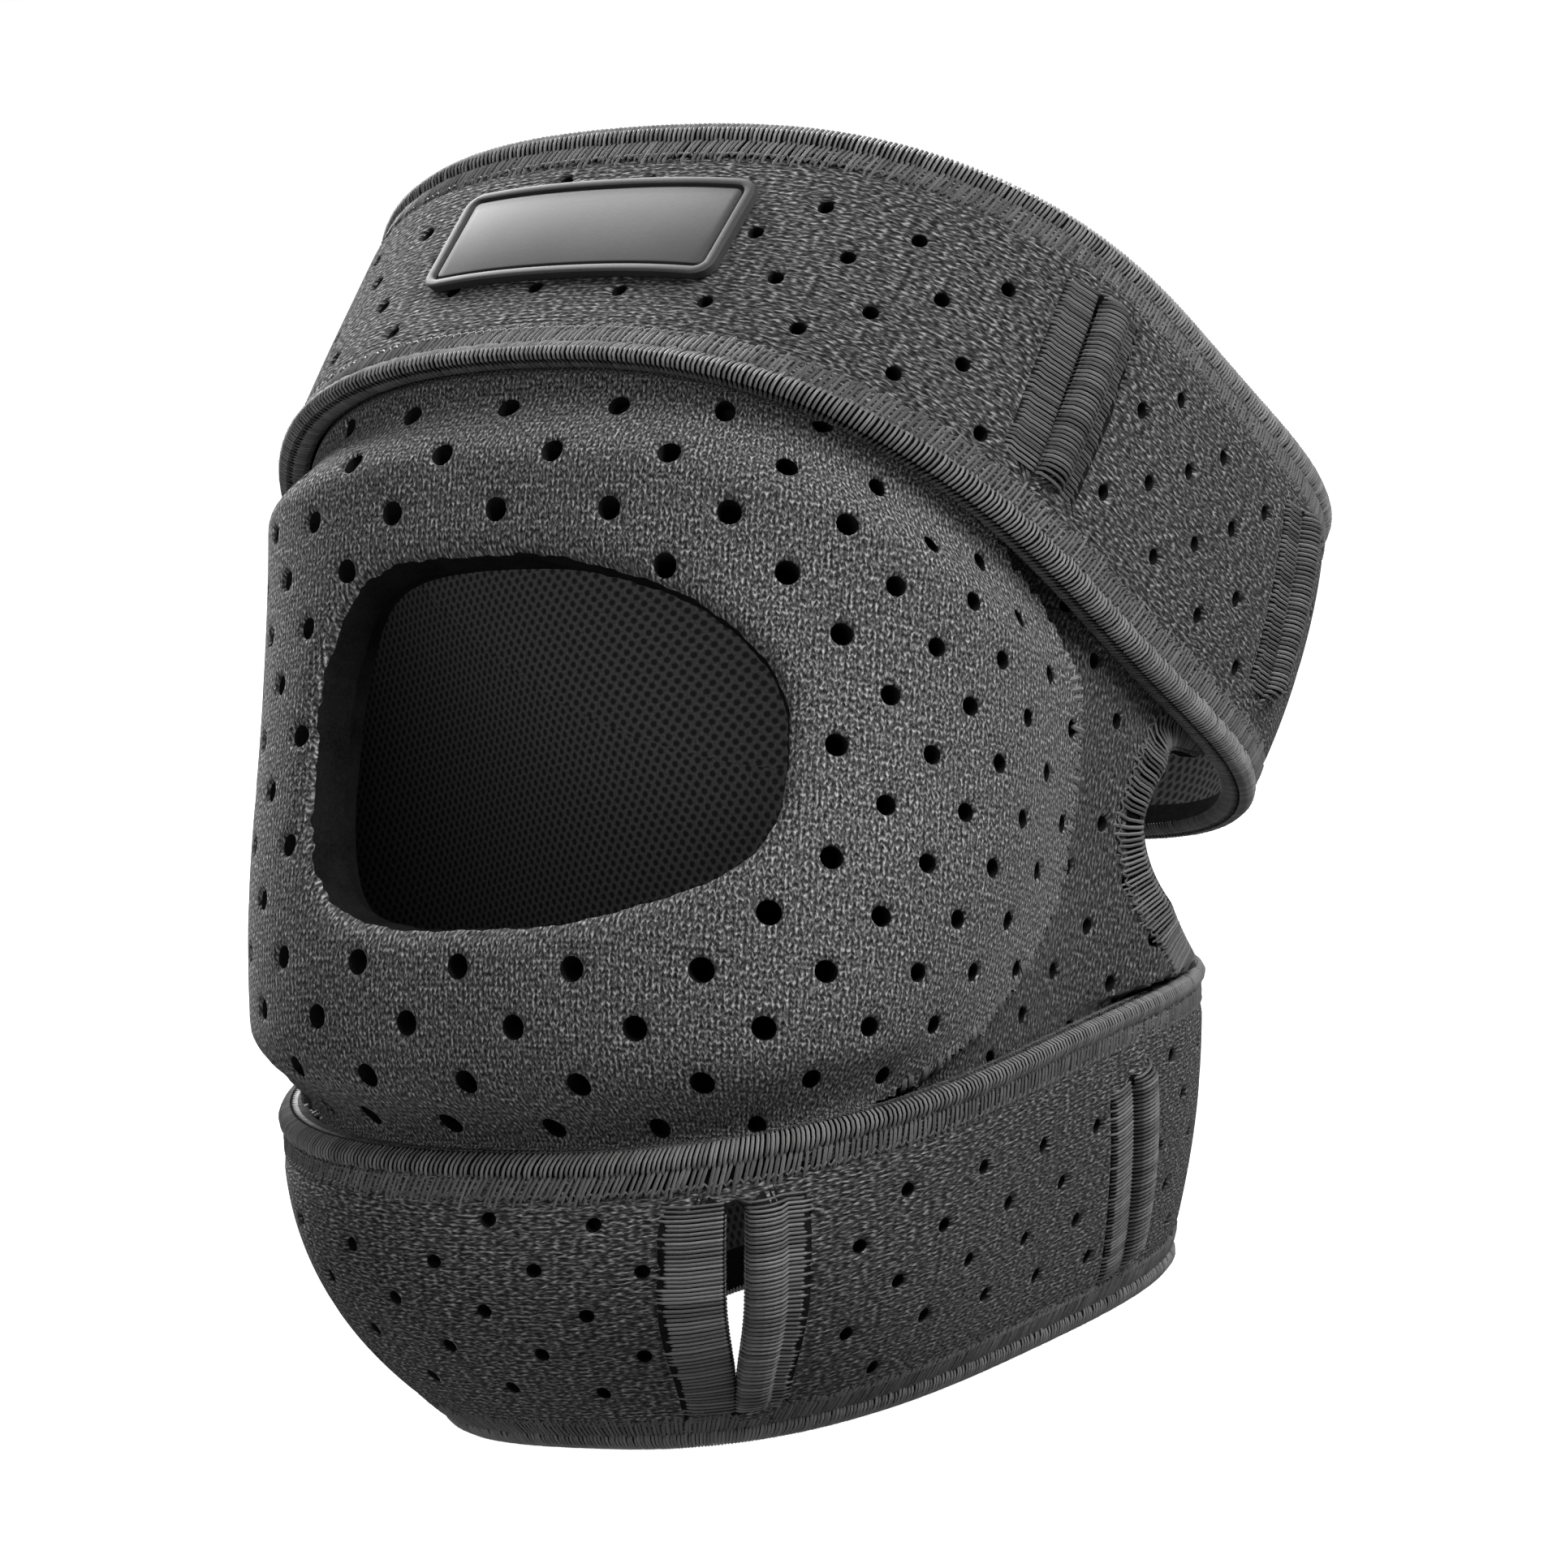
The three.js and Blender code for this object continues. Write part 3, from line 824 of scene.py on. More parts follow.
@dataclass(frozen=True)
class GrainySurface:
    """Plain material with a fine grain, such as cut foam, moulded rubber or pile tape.

    The eye sees one colour that varies softly, with a grain in its light.
    """

    name: str
    dark: str
    light: str
    grain: float
    surface: Surface
    clouds: float = 12.0
    spread: tuple[float, float] = (0.7, 1.3)

    def material(self) -> Material:
        """Builds the material on Object coordinates."""
        material, tree, shader = new_material(self.name)
        place = add_node(tree, "ShaderNodeTexCoord").outputs["Object"]
        scale = 1 / (self.grain * MM)
        grain = noise(tree, place, scale, detail=3.0)
        cloud = noise(tree, place, scale / self.clouds, detail=3.0)
        share = remap(tree, calculate(tree, "ADD", grain, cloud), *self.spread)
        self.surface.finish(tree, shader, between(tree, share, self.dark, self.light), grain)
        return material


@dataclass(frozen=True)
class SewingThread:
    """Spun polyester overlock thread.

    The eye sees round threads with a low silky light, each a little lighter or darker.
    """

    name: str
    dark: str
    light: str
    fibre: float = 0.3
    fibre_share: float = 0.5
    spread: tuple[float, float] = (0.1, 1.4)
    surface: Surface = Surface(0.5, 0.06, 0.6, 0.05)

    def material(self) -> Material:
        """Builds the material on the threads' shade and Object coordinates."""
        material, tree, shader = new_material(self.name)
        shade = add_node(tree, "ShaderNodeAttribute", attribute_name="shade").outputs["Fac"]
        place = add_node(tree, "ShaderNodeTexCoord").outputs["Object"]
        fibre = noise(tree, place, 1 / (self.fibre * MM))
        blend = calculate(tree, "MULTIPLY_ADD", fibre, self.fibre_share, shade)
        share = remap(tree, blend, *self.spread)
        self.surface.finish(tree, shader, between(tree, share, self.dark, self.light), fibre)
        return material


PAD_KNIT = HeatherKnit("heather_jersey_pad", "#0b0b0b", "#292929", "#5c5c5c", 0.72, 0.62, Wales.UP)
STRAP_KNIT = HeatherKnit(
    "heather_jersey_strap",
    "#070707",
    "#1e1e1e",
    "#4c4c4c",
    0.7,
    1.15,
    Wales.ROUND,
    mottle=34.0,
    fleck_range=0.19,
)
PANEL_KNIT = HeatherKnit("heather_jersey_panel", "#060606", "#1b1b1b", "#424242", 0.7, 0.8, Wales.UP)
# The second colour, for the eyelets, is painted shade in the mesh's openings
LINING = SpacerMesh("black_spacer_mesh", "#212121", "#080808", 1.6, 0.95)
# Near-black foam: real foam on cut edges and perforation walls, and painted shade on the perforations'
# floors, on the panel under the pad and under the slits' stitches
FOAM_AND_PAINTED_SHADE = GrainySurface("cut_black_foam_and_painted_shade", "#060606", "#0e0e0e", 0.35, Surface(0.6, 0.08, 0.95))
RUBBER = GrainySurface("moulded_grey_rubber", "#202020", "#242424", 0.5, Surface(0.6, 0.02, 0.7, 0.03))
TAPE = GrainySurface("black_pile_tape", "#060606", "#131313", 0.6, Surface(0.6, 0.3, 0.95))
THREAD = SewingThread("grey_overlock_thread", "#222222", "#4e4e4e")
# The rolls under the edge stitches are near-black, darker than the knit they are rolled from: painted shade
# in the gaps between the threads
PAINTED_SHADE_EDGE_CLOTH = GrainySurface("bound_edge_cloth_painted_shade", "#030303", "#060606", 0.7, Surface(0.6, 0.15, 0.95))
FLOOR = GrainySurface("pale_studio_floor", "#3c3c3c", "#404040", 40.0, Surface(0.6, 0.0, 0.9))


def dress(piece: Piece, *materials: Material) -> Piece:
    """Gives a piece its materials, in the order of its slots."""
    for material in materials:
        piece.data.materials.append(material)
    return piece


def declare(piece: Piece, node: str | None = None) -> None:
    """Puts a piece on the brace's body, in place of a CAD node where it has one.

    Args:
        piece: the piece.
        node: the node that it replaces, or none.
    """
    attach(piece, BODY)
    if node is not None:
        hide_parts(node)


class Finishes:
    """The brace's materials, each built once."""

    def __init__(self) -> None:
        self.pad = PAD_KNIT.material()
        self.strap = STRAP_KNIT.material()
        self.panel = PANEL_KNIT.material()
        self.lining = LINING.material()
        # Foam, and painted shade where its slot covers shaded or hidden cloth
        self.foam = FOAM_AND_PAINTED_SHADE.material()
        self.rubber = RUBBER.material()
        self.tape = TAPE.material()
        self.thread = THREAD.material()
        # Roll cloth whose near-black is painted shade between the edge threads
        self.edge = PAINTED_SHADE_EDGE_CLOTH.material()


# Sewing


@dataclass
class Seam:
    """Line on a cloth along which stitches are laid.

    Attributes:
        line: points of the line in the flat, with the cloth on its left.
        surface: gives the depth of the cloth's face at flat points.
        place: gives points in metres from flat points and depths.
        closed: whether the line's end joins its start.
    """

    line: Array
    surface: Callable[[Array], Array]
    place: Callable[[Array, Array], Array]
    closed: bool

    def __post_init__(self) -> None:
        self.runs = lengths(self.line)
        self.length = float(self.runs[-1])
        along = unit(np.gradient(self.line, axis=0))
        self.normals = np.column_stack([-along[:, 1], along[:, 0]])

    def points(self, run: Array, inset: Array, lift: Array) -> Array:
        """Points in metres beside the line.

        Args:
            run: millimetres along the line.
            inset: millimetres from it into the cloth.
            lift: millimetres above the cloth's face.

        Returns:
            An array with a last axis of x, y and z.
        """
        run, inset, lift = np.broadcast_arrays(run, inset, lift)
        beyond = run if not self.closed else np.mod(run, self.length)
        flat = np.stack([np.interp(beyond, self.runs, self.line[:, axis]) for axis in range(2)], axis=-1)
        aside = np.stack([np.interp(beyond, self.runs, self.normals[:, axis]) for axis in range(2)], axis=-1)
        flat = (flat + aside * inset[..., None]).reshape(-1, 2)
        depth = self.surface(flat) + lift.ravel()
        return self.place(flat, depth).reshape(*run.shape, 3)


THREAD_SIDES = 5
# Share of its radius that a thread has at its ends
THREAD_END = 0.6
# Lift to a point above the cloth, which shows the way out of it
OUT_STEP = 1.0
# Shade of the rolls, whose cloth doesn't use it
BEAD_SHADE = 0.5
Mesh = tuple[Array, list[list[int]]]
ShadedMesh = tuple[Array, list[list[int]], Array]


def thread_mesh(paths: Array, outward: Array, radius: Array) -> Mesh:
    """Round threads along paths.

    Args:
        paths: places with axes of thread, point and x, y, z, in metres.
        outward: a direction away from the cloth at each of those places.
        radius: radius in metres of each thread at each point.

    Returns:
        The places of the mesh's points and the faces.
    """
    threads, count, _ = paths.shape
    along = unit(np.gradient(paths, axis=1))
    beside = unit(np.cross(along, outward))
    above = np.cross(beside, along)
    turns = np.arange(THREAD_SIDES) * 2 * math.pi / THREAD_SIDES
    ring = np.cos(turns)[:, None] * above[:, :, None] + np.sin(turns)[:, None] * beside[:, :, None]
    places = paths[:, :, None] + ring * radius[:, :, None, None]
    index = np.arange(threads * count * THREAD_SIDES).reshape(threads, count, THREAD_SIDES)
    near, far = index[:, :-1], index[:, 1:]
    quads = np.stack(
        [near, far, np.roll(far, -1, axis=2), np.roll(near, -1, axis=2)], axis=-1
    ).reshape(-1, 4)
    caps = np.concatenate([index[:, 0], index[:, -1, ::-1]])
    return places.reshape(-1, 3), [*quads.tolist(), *caps.tolist()]


@dataclass
class Stitching:
    """Row of thread stitches that cross a seam's edge.

    Attributes:
        path: inset and lift of each point of a stitch, from the cloth over the edge.
        pitch: distance between stitches.
        slant: how far a stitch's start lies along the seam from its end.
        radius: radius of the thread.
        unevenness: share of the pitch by which stitches stray.
        upright: share of the reach over which stitches don't slant yet.
        shades: lowest and highest shade of a stitch.
    """

    path: Sequence[tuple[float, float]]
    pitch: float = 0.72
    slant: float = 2.0
    radius: float = 0.28
    unevenness: float = 0.1
    upright: float = 0.4
    shades: tuple[float, float] = (0.3, 0.8)

    def mesh(self, seam: Seam, rng: Draws) -> ShadedMesh:
        """Lays the stitches along a seam.

        Args:
            seam: the line that they follow.
            rng: where the small differences between them come from.

        Returns:
            The mesh's points in metres, its faces and the shade of each point.
        """
        count = round(seam.length / self.pitch)
        inset, lift = np.array(self.path, float).T
        stray = rng.uniform(-1, 1, (count, 4)) * self.unevenness
        run = (np.arange(count) + 0.5 + stray[:, 0]) * seam.length / count
        reach = inset.max()
        sloped = np.clip((inset / reach - self.upright) / (1 - self.upright), 0, 1)
        lean = self.slant * (1 + stray[:, 1:2]) * sloped
        insets = inset * (1 + stray[:, 2:3] * sloped)
        runs = run[:, None] + lean
        if not seam.closed:
            runs = np.clip(runs, 0, seam.length)
        paths = seam.points(runs, insets, np.broadcast_to(lift, runs.shape))
        raised = seam.points(runs, insets, lift + OUT_STEP)
        radius = self.radius * MM * (1 + stray[:, 3:4]) * np.ones_like(insets)
        radius[:, [0, -1]] *= THREAD_END
        places, faces = thread_mesh(paths, raised - paths, radius)
        shade = np.repeat(rng.uniform(*self.shades, count), paths.shape[1] * THREAD_SIDES)
        return places, faces, shade


@dataclass
class NeedleLine:
    """Thread that runs along a seam in small waves."""

    inset: float
    lift: float
    pitch: float = 1.1
    wave: float = 0.3
    wave_rise: float = 0.5
    radius: float = 0.17
    steps: int = 4
    shades: tuple[float, float] = (0.0, 0.2)

    def mesh(self, seam: Seam, rng: Draws) -> ShadedMesh:
        """Lays the thread along a seam, as Stitching.mesh does.

        Args:
            seam: the line that it follows.
            rng: where its shades come from.

        Returns:
            The mesh's points in metres, its faces and the shade of each point.
        """
        count = round(seam.length / self.pitch) * self.steps
        marks = np.arange(count + 1) / self.steps
        run = marks * seam.length / marks[-1]
        inset = self.inset + self.wave * np.sin(2 * math.pi * marks)
        lift = self.lift + self.wave_rise * self.wave * np.cos(2 * math.pi * marks)
        paths = seam.points(run, inset, lift)[None]
        raised = seam.points(run, inset, lift + OUT_STEP)[None]
        places, faces = thread_mesh(paths, raised - paths, np.full((1, count + 1), self.radius * MM))
        shade = np.repeat(rng.uniform(*self.shades, count + 1), THREAD_SIDES)
        return places, faces, shade


@dataclass
class Bead:
    """Rounded roll of cloth under the stitches of an edge."""

    profile: Sequence[tuple[float, float]]
    step: float = 1.5

    def mesh(self, seam: Seam) -> Mesh:
        """Lofts the roll along a seam, with a cap at each open end.

        Args:
            seam: the line that it follows.

        Returns:
            The mesh's points in metres and its faces.
        """
        count = max(FEWEST_POINTS, round(seam.length / self.step))
        run = np.linspace(0, seam.length, count, endpoint=not seam.closed)
        inset, lift = np.array(self.profile, float).T
        places = seam.points(run[:, None], inset[None], lift[None])
        index = np.arange(count * len(inset)).reshape(count, len(inset))
        near, far = index, np.roll(index, -1, axis=0)
        if not seam.closed:
            near, far = near[:-1], far[:-1]
        quads = np.stack(
            [near, np.roll(near, -1, axis=1), np.roll(far, -1, axis=1), far], axis=-1
        ).reshape(-1, 4)
        caps = [] if seam.closed else [index[0, ::-1].tolist(), index[-1].tolist()]
        return places.reshape(-1, 3), [*quads.tolist(), *caps]


def join_parts(
    name: str, beads: Sequence[Mesh], threads: Sequence[ShadedMesh], finishes: Finishes
) -> Piece:
    """Makes one piece of rolls and threads, the rolls in the near-black edge cloth, which is painted shade
    between the threads.

    Args:
        name: the piece's name.
        beads: meshes of the rolls.
        threads: meshes of the threads, with the shade of each point.
        finishes: the brace's materials.

    Returns:
        The new object.
    """
    places, faces, shades, slots = [], [], [], []
    count = 0
    for slot, parts in enumerate((threads, beads)):
        for points, polygons, *shade in parts:
            places.append(points)
            faces.extend([[corner + count for corner in polygon] for polygon in polygons])
            shades.append(shade[0] if shade else np.full(len(points), BEAD_SHADE))
            slots.extend([slot] * len(polygons))
            count += len(points)
    piece = make_object(name, np.vstack(places), faces, None, np.array(slots), np.concatenate(shades))
    return dress(piece, finishes.thread, finishes.edge)


# Straps


@dataclass(frozen=True)
class Lip:
    """Bound side of a slit: a flat sewn band, with a roll along the slit where it has one."""

    width: float
    rise: float = 0.35
    roll: float = 0.0
    roll_rise: float = 0.0
    groove: float = 0.45
    groove_reach: float = 0.4
    fade: float = 0.4
    # Share of the width that the stitches stand on where there is no roll
    body: float = 0.6

    def lift(self, away: Array) -> Array:
        """Height over the strap at distances from the slit.

        Args:
            away: millimetres from the slit's edge.

        Returns:
            Millimetres over the strap's face.
        """
        lift = self.rise * (1 - smooth(self.width - self.fade, self.width, away))
        lift = lift - self.groove * np.exp(-(((away - self.width) / self.groove_reach) ** 2))
        if self.roll:
            half = self.roll / 2
            lift = lift + self.roll_rise * np.sqrt(np.clip(1 - ((away - half) / half) ** 2, 0, None))
        return np.where(away < 0, self.rise, lift)


@dataclass(frozen=True)
class Slit:
    """Bound slit that runs up a strap.

    Attributes:
        node: the CAD node that its stitches stand for.
        angles: where its lower and upper ends are round the leg.
        levels: where they are up the leg.
        opening: its greatest width.
        left: its side towards the front.
        right: its other side.
        steps: points along each side.
        end_fade: share of its length over which its sides fall off at the ends.
        taper: shares of its length between which it opens.
        blunt: shares of its length between which it closes.
        sewn: shares of its length between which its sides are sewn.
    """

    node: str
    angles: tuple[float, float]
    levels: tuple[float, float]
    opening: float
    left: Lip
    right: Lip
    steps: int = 34
    end_fade: float = 0.06
    taper: tuple[float, float] = (0.03, 0.55)
    blunt: tuple[float, float] = (0.95, 1.0)
    sewn: tuple[float, float] = (-0.02, 1.0)

    def half(self, share: Array) -> Array:
        """Half the opening at shares of the way up: it tapers downwards and ends bluntly."""
        return self.opening / 2 * smooth(*self.taper, share) * (1 - smooth(*self.blunt, share))


STRAP_SPACING = 0.95
SLIT_CUT = 0.06
SLIT_SEAM = -0.1
SLIT_COLLARS = (0.5, 1.0, 1.7, 2.4, 3.1, 3.8, 4.4, 5.0, 5.6, 6.2, 6.8, 7.4, 8.0, 8.6)
HOLE_ROWS = 12
SLIT_CLEAR = 0.6
SLIT_CLEAR_ENDS = (-0.2, 1.2)
END_CLEAR = 3.0
# Distance over which a strap grows even towards its joined ends
END_EVEN = 15.0
# How far the outer face is pressed in under the edge stitches, and where that ends
PRESSED = 0.3
PRESSED_REACH = (5.6, 8.0)
# How a strap's edge is drawn in and rounded under its roll
EDGE_TUCK = 1.0
EDGE_TUCK_REACH = 1.6
EDGE_INSET = 0.9
DIMPLE = 0.4
# Cloth left under a perforation
WELL_FLOOR = 0.4
# Waves of soft cloth: size, length across, length up and phase
RIPPLES = ((0.16, 31.0, 17.0, 0.4), (0.12, 19.0, 29.0, 2.1), (0.07, 11.0, 9.0, 4.0))

# Inset and lift of the points of a stitch over the edge, of one on the band and of the roll
BEAD_PATH = (
    (3.4, -0.25), (2.9, 0.2), (2.3, 0.6), (1.6, 0.78), (0.8, 0.42), (0.36, -0.45), (0.3, -1.4),
    (0.42, -2.4), (1.0, -3.1),
)
BAND_PATH = (
    (6.6, -0.3), (6.0, 0.05), (4.8, 0.16), (3.6, 0.12), (2.8, -0.1),
)
EDGE_ROLL = (
    (5.9, -0.15), (3.3, -0.25), (2.3, 0.36), (1.6, 0.54), (0.95, 0.2), (0.62, -0.5), (0.56, -1.4),
    (0.66, -2.3), (1.1, -2.95), (2.2, -3.1), (5.9, -2.5),
)
# Points of a slit's stitch: shares of the band, shares of the roll and insets past the edge, with their lifts
SLIT_BAND = ((1.0, -0.25), (0.85, 0.05))
SLIT_ROLL = ((1.05, 0.04), (0.85, 0.12), (0.65, 0.12), (0.45, 0.12), (0.25, 0.12), (0.1, 0.12))
SLIT_SIDE = ((0.0, -0.35), (-0.05, -1.4), (0.1, -2.4))
BEAD_STITCHES = Stitching(
    BEAD_PATH, pitch=0.66, slant=0.4, radius=0.2, unevenness=0.08, upright=0.15, shades=(0.35, 0.85)
)
BAND_STITCHES = Stitching(
    BAND_PATH, pitch=0.76, slant=1.0, radius=0.23, unevenness=0.14, upright=0.4, shades=(0.0, 0.35)
)
NEEDLE = NeedleLine(inset=5.6, lift=0.12)


def ripple(flat: Array) -> Array:
    """Slow unevenness of soft cloth, in millimetres."""
    across, up = flat.T
    return sum(
        size * np.sin(across / wide + phase + np.sin(up / tall)) * np.cos(up / tall + phase)
        for size, wide, tall, phase in RIPPLES
    )


@dataclass(frozen=True)
class HoleGrid:
    """Staggered perforations of a strap, turned a little from its edges.

    Attributes:
        across: millimetres from the front to one of the holes.
        up: millimetres from the lower edge to that hole.
        pitch: distance between the holes of a row.
        row: distance between rows.
        turn: degrees by which the rows are turned.
    """

    across: float
    up: float
    pitch: float
    row: float
    turn: float

    def centres(self, front: float, reach: float) -> Array:
        """Flat centres of the holes within a reach of the front.

        Args:
            front: run of the front.
            reach: millimetres to each side.

        Returns:
            A row for each hole.
        """
        columns = round(reach / self.pitch)
        spots = np.array(
            [
                ((column + (row % 2) / 2) * self.pitch, row * self.row)
                for row in range(-HOLE_ROWS, HOLE_ROWS + 1)
                for column in range(-columns, columns + 1)
            ]
        )
        turn = math.radians(self.turn)
        spin = np.array([[math.cos(turn), math.sin(turn)], [-math.sin(turn), math.cos(turn)]])
        return spots @ spin + (front + self.across, self.up)


@dataclass
class Strap:
    """Foam-backed strap round the leg, with overlocked edges and bound slits."""

    node: str
    zone: Zone
    form: LegForm
    slits: tuple[Slit, ...]
    holes_grid: HoleGrid
    thickness: float = 3.0
    hole_radius: float = 1.0
    hole_margin: float = 8.2

    def __post_init__(self) -> None:
        self.height = BANDS[self.zone.value].height
        self.ruler = Ruler(self.form, self.zone.value + 0.5, self.zone)
        self.length = self.ruler.length

    def place(self, flat: Array, depth: Array) -> Array:
        """Points in metres at flat points and depths."""
        level = self.zone.value + flat[:, 1] / self.height
        return self.form.points(self.ruler.angle(flat[:, 0]), level, depth, self.zone)

    def slit_line(self, slit: Slit) -> tuple[Array, Array, Array]:
        """Flat place of a slit's lower end, the way to its upper end and a step to its right."""
        runs = self.ruler.run(np.array(slit.angles))
        ups = (np.array(slit.levels) - self.zone.value) * self.height
        low, high = np.column_stack([runs, ups])
        span = high - low
        return low, span, np.array([span[1], -span[0]]) / np.linalg.norm(span)

    def slit_place(self, slit: Slit, flat: Array) -> tuple[Array, Array, Array]:
        """Share along a slit, distance to its right, and half its opening, at flat points.

        Args:
            slit: the slit.
            flat: points in the flat.

        Returns:
            The three values for each point.
        """
        low, span, _ = self.slit_line(slit)
        away = flat - low
        share = away @ span / (span @ span)
        right = (away[:, 0] * span[1] - away[:, 1] * span[0]) / np.linalg.norm(span)
        return share, right, slit.half(share)

    def slit_loop(self, slit: Slit) -> Array:
        """Clockwise edge of a slit in the flat.

        Args:
            slit: the slit.

        Returns:
            A row for each point.
        """
        low, span, aside = self.slit_line(slit)
        shares = np.linspace(0, 1, slit.steps + 1)
        half = np.maximum(slit.half(shares), SLIT_CUT)
        half[[0, -1]] = 0
        centre = low + shares[:, None] * span
        left = centre[:-1] - half[:-1, None] * aside
        right = centre[:0:-1] + half[:0:-1, None] * aside
        return np.vstack([left, right])

    def unevenness(self, flat: Array) -> Array:
        """Slow unevenness of the strap, with none where its ends join."""
        away = np.minimum(flat[:, 0], self.length - flat[:, 0])
        return ripple(flat) * smooth(0, END_EVEN, away)

    def face_depth(self, flat: Array) -> Array:
        """Depth of the outer face: pressed under the edge stitches, raised at the slits.

        Args:
            flat: points in the flat.

        Returns:
            A depth for each point.
        """
        edge = np.minimum(flat[:, 1], self.height - flat[:, 1])
        depth = self.unevenness(flat) - PRESSED * (1 - smooth(*PRESSED_REACH, edge))
        for slit in self.slits:
            share, right, half = self.slit_place(slit, flat)
            start = smooth(-slit.end_fade, slit.end_fade, share)
            fade = start * smooth(-slit.end_fade, slit.end_fade, 1 - share)
            away = np.abs(right) - half
            lift = np.where(right > 0, slit.right.lift(away), slit.left.lift(away))
            near = away < max(slit.left.width, slit.right.width)
            depth = depth + np.where(near, lift * fade, 0)
        return depth

    def face_slot(self, middles: Array) -> Array:
        """Material slot of outer triangles: the near-black cut slot under a slit's stitches, painted shade
        between the threads.

        Args:
            middles: middles of the triangles in the flat.

        Returns:
            A slot for each triangle.
        """
        slots = np.full(len(middles), Face.OUTER.value)
        for slit in self.slits:
            share, right, half = self.slit_place(slit, middles)
            width = np.where(right > 0, slit.right.width, slit.left.width) + SLIT_SEAM
            sewn = (share > slit.sewn[0]) & (share < slit.sewn[1])
            # Painted shade between the slit's threads: the face under them takes the near-black cut slot
            slots[(np.abs(right) - half < width) & sewn] = Face.CUT.value
        return slots

    def holes(self) -> Array:
        """Centres of the perforations, clear of the edges and the slits."""
        centres = self.holes_grid.centres(float(self.ruler.run(0)), self.length)
        clear = (centres[:, 1] > self.hole_margin) & (centres[:, 1] < self.height - self.hole_margin)
        clear &= (centres[:, 0] > END_CLEAR) & (centres[:, 0] < self.length - END_CLEAR)
        for slit in self.slits:
            share, right, half = self.slit_place(slit, centres)
            away = np.abs(right) - half
            width = np.where(right > 0, slit.right.width, slit.left.width)
            beyond = (share < SLIT_CLEAR_ENDS[0]) | (share > SLIT_CLEAR_ENDS[1])
            clear &= (away > width + self.hole_radius + SLIT_CLEAR) | beyond
        return centres[clear]

    def outline(self) -> Array:
        """Edge of the strap in the flat, anticlockwise."""
        across = np.linspace(0, self.length, round(self.length / STRAP_SPACING) + 1)
        up = np.linspace(0, self.height, round(self.height / STRAP_SPACING) + 1)
        low = np.column_stack([across, np.zeros_like(across)])
        right = np.column_stack([np.full_like(up, self.length), up])
        high = np.column_stack([across[::-1], np.full_like(across, self.height)])
        left = np.column_stack([np.zeros_like(up), up[::-1]])
        return np.vstack([low[:-1], right[:-1], high[:-1], left[:-1]])

    def lay(self, flat: Array, dimple: Array, face: Face) -> Array:
        """Points of a face in metres.

        Args:
            flat: points in the flat.
            dimple: how far each is pressed in at a perforation.
            face: the face.

        Returns:
            A row of x, y and z for each point.
        """
        edge = np.minimum(flat[:, 1], self.height - flat[:, 1])
        tuck = EDGE_TUCK * (1 - smooth(0, EDGE_TUCK_REACH, edge))
        inwards = np.clip(edge, EDGE_INSET, None) - edge
        settled = flat.copy()
        settled[:, 1] += np.where(flat[:, 1] < self.height / 2, inwards, -inwards)
        if face is Face.OUTER:
            return self.place(settled, self.face_depth(flat) - DIMPLE * dimple - tuck)
        return self.place(settled, self.unevenness(flat) - self.thickness + tuck)

    def well(self, flat: Array) -> Array:
        """Points at the bottom of a perforation."""
        return self.place(flat, np.full(len(flat), WELL_FLOOR - self.thickness))

    def build(self, finishes: Finishes) -> Piece:
        """Makes the strap and puts it on the brace's body in place of its CAD node.

        Args:
            finishes: the brace's materials.

        Returns:
            The new object.
        """
        openings = [self.slit_loop(slit) for slit in self.slits]
        cut = FlatCut(self.outline(), openings, self.holes(), self.hole_radius, STRAP_SPACING, SLIT_COLLARS)
        builder = ClothBuilder(cut, self.lay, self.well, self.length)
        strap = builder.build(f"{self.node}_cloth", self.face_slot)
        # The foam slot is real foam on cut edges and perforation walls, and painted shade on the
        # perforations' floors and under the slits' stitches
        dress(strap, finishes.strap, finishes.lining, finishes.foam)
        declare(strap, self.node)
        return strap

    def edge_seam(self, top: bool) -> Seam:
        """Line of the strap's top or bottom edge, with the strap on its left.

        Args:
            top: whether it is the top edge.

        Returns:
            The seam.
        """
        across = np.linspace(0, self.length, round(self.length) + 1)
        if top:
            line = np.column_stack([across[::-1], np.full_like(across, self.height)])
        else:
            line = np.column_stack([across, np.zeros_like(across)])
        return Seam(line, lambda flat: np.full(len(flat), -PRESSED), self.place, True)

    def build_edging(self, top: bool, finishes: Finishes, rng: Draws) -> Piece:
        """Makes the overlocked edging of one edge.

        Args:
            top: whether it is the top edge.
            finishes: the brace's materials.
            rng: source of the stitches' small differences.

        Returns:
            The new object.
        """
        seam = self.edge_seam(top)
        rows = (BEAD_STITCHES, BAND_STITCHES, NEEDLE)
        threads = [row.mesh(seam, rng) for row in rows]
        name = f"{self.node}_{'top' if top else 'bottom'}_edging"
        edging = join_parts(f"{name}_threads", [Bead(EDGE_ROLL).mesh(seam)], threads, finishes)
        declare(edging, name)
        return edging

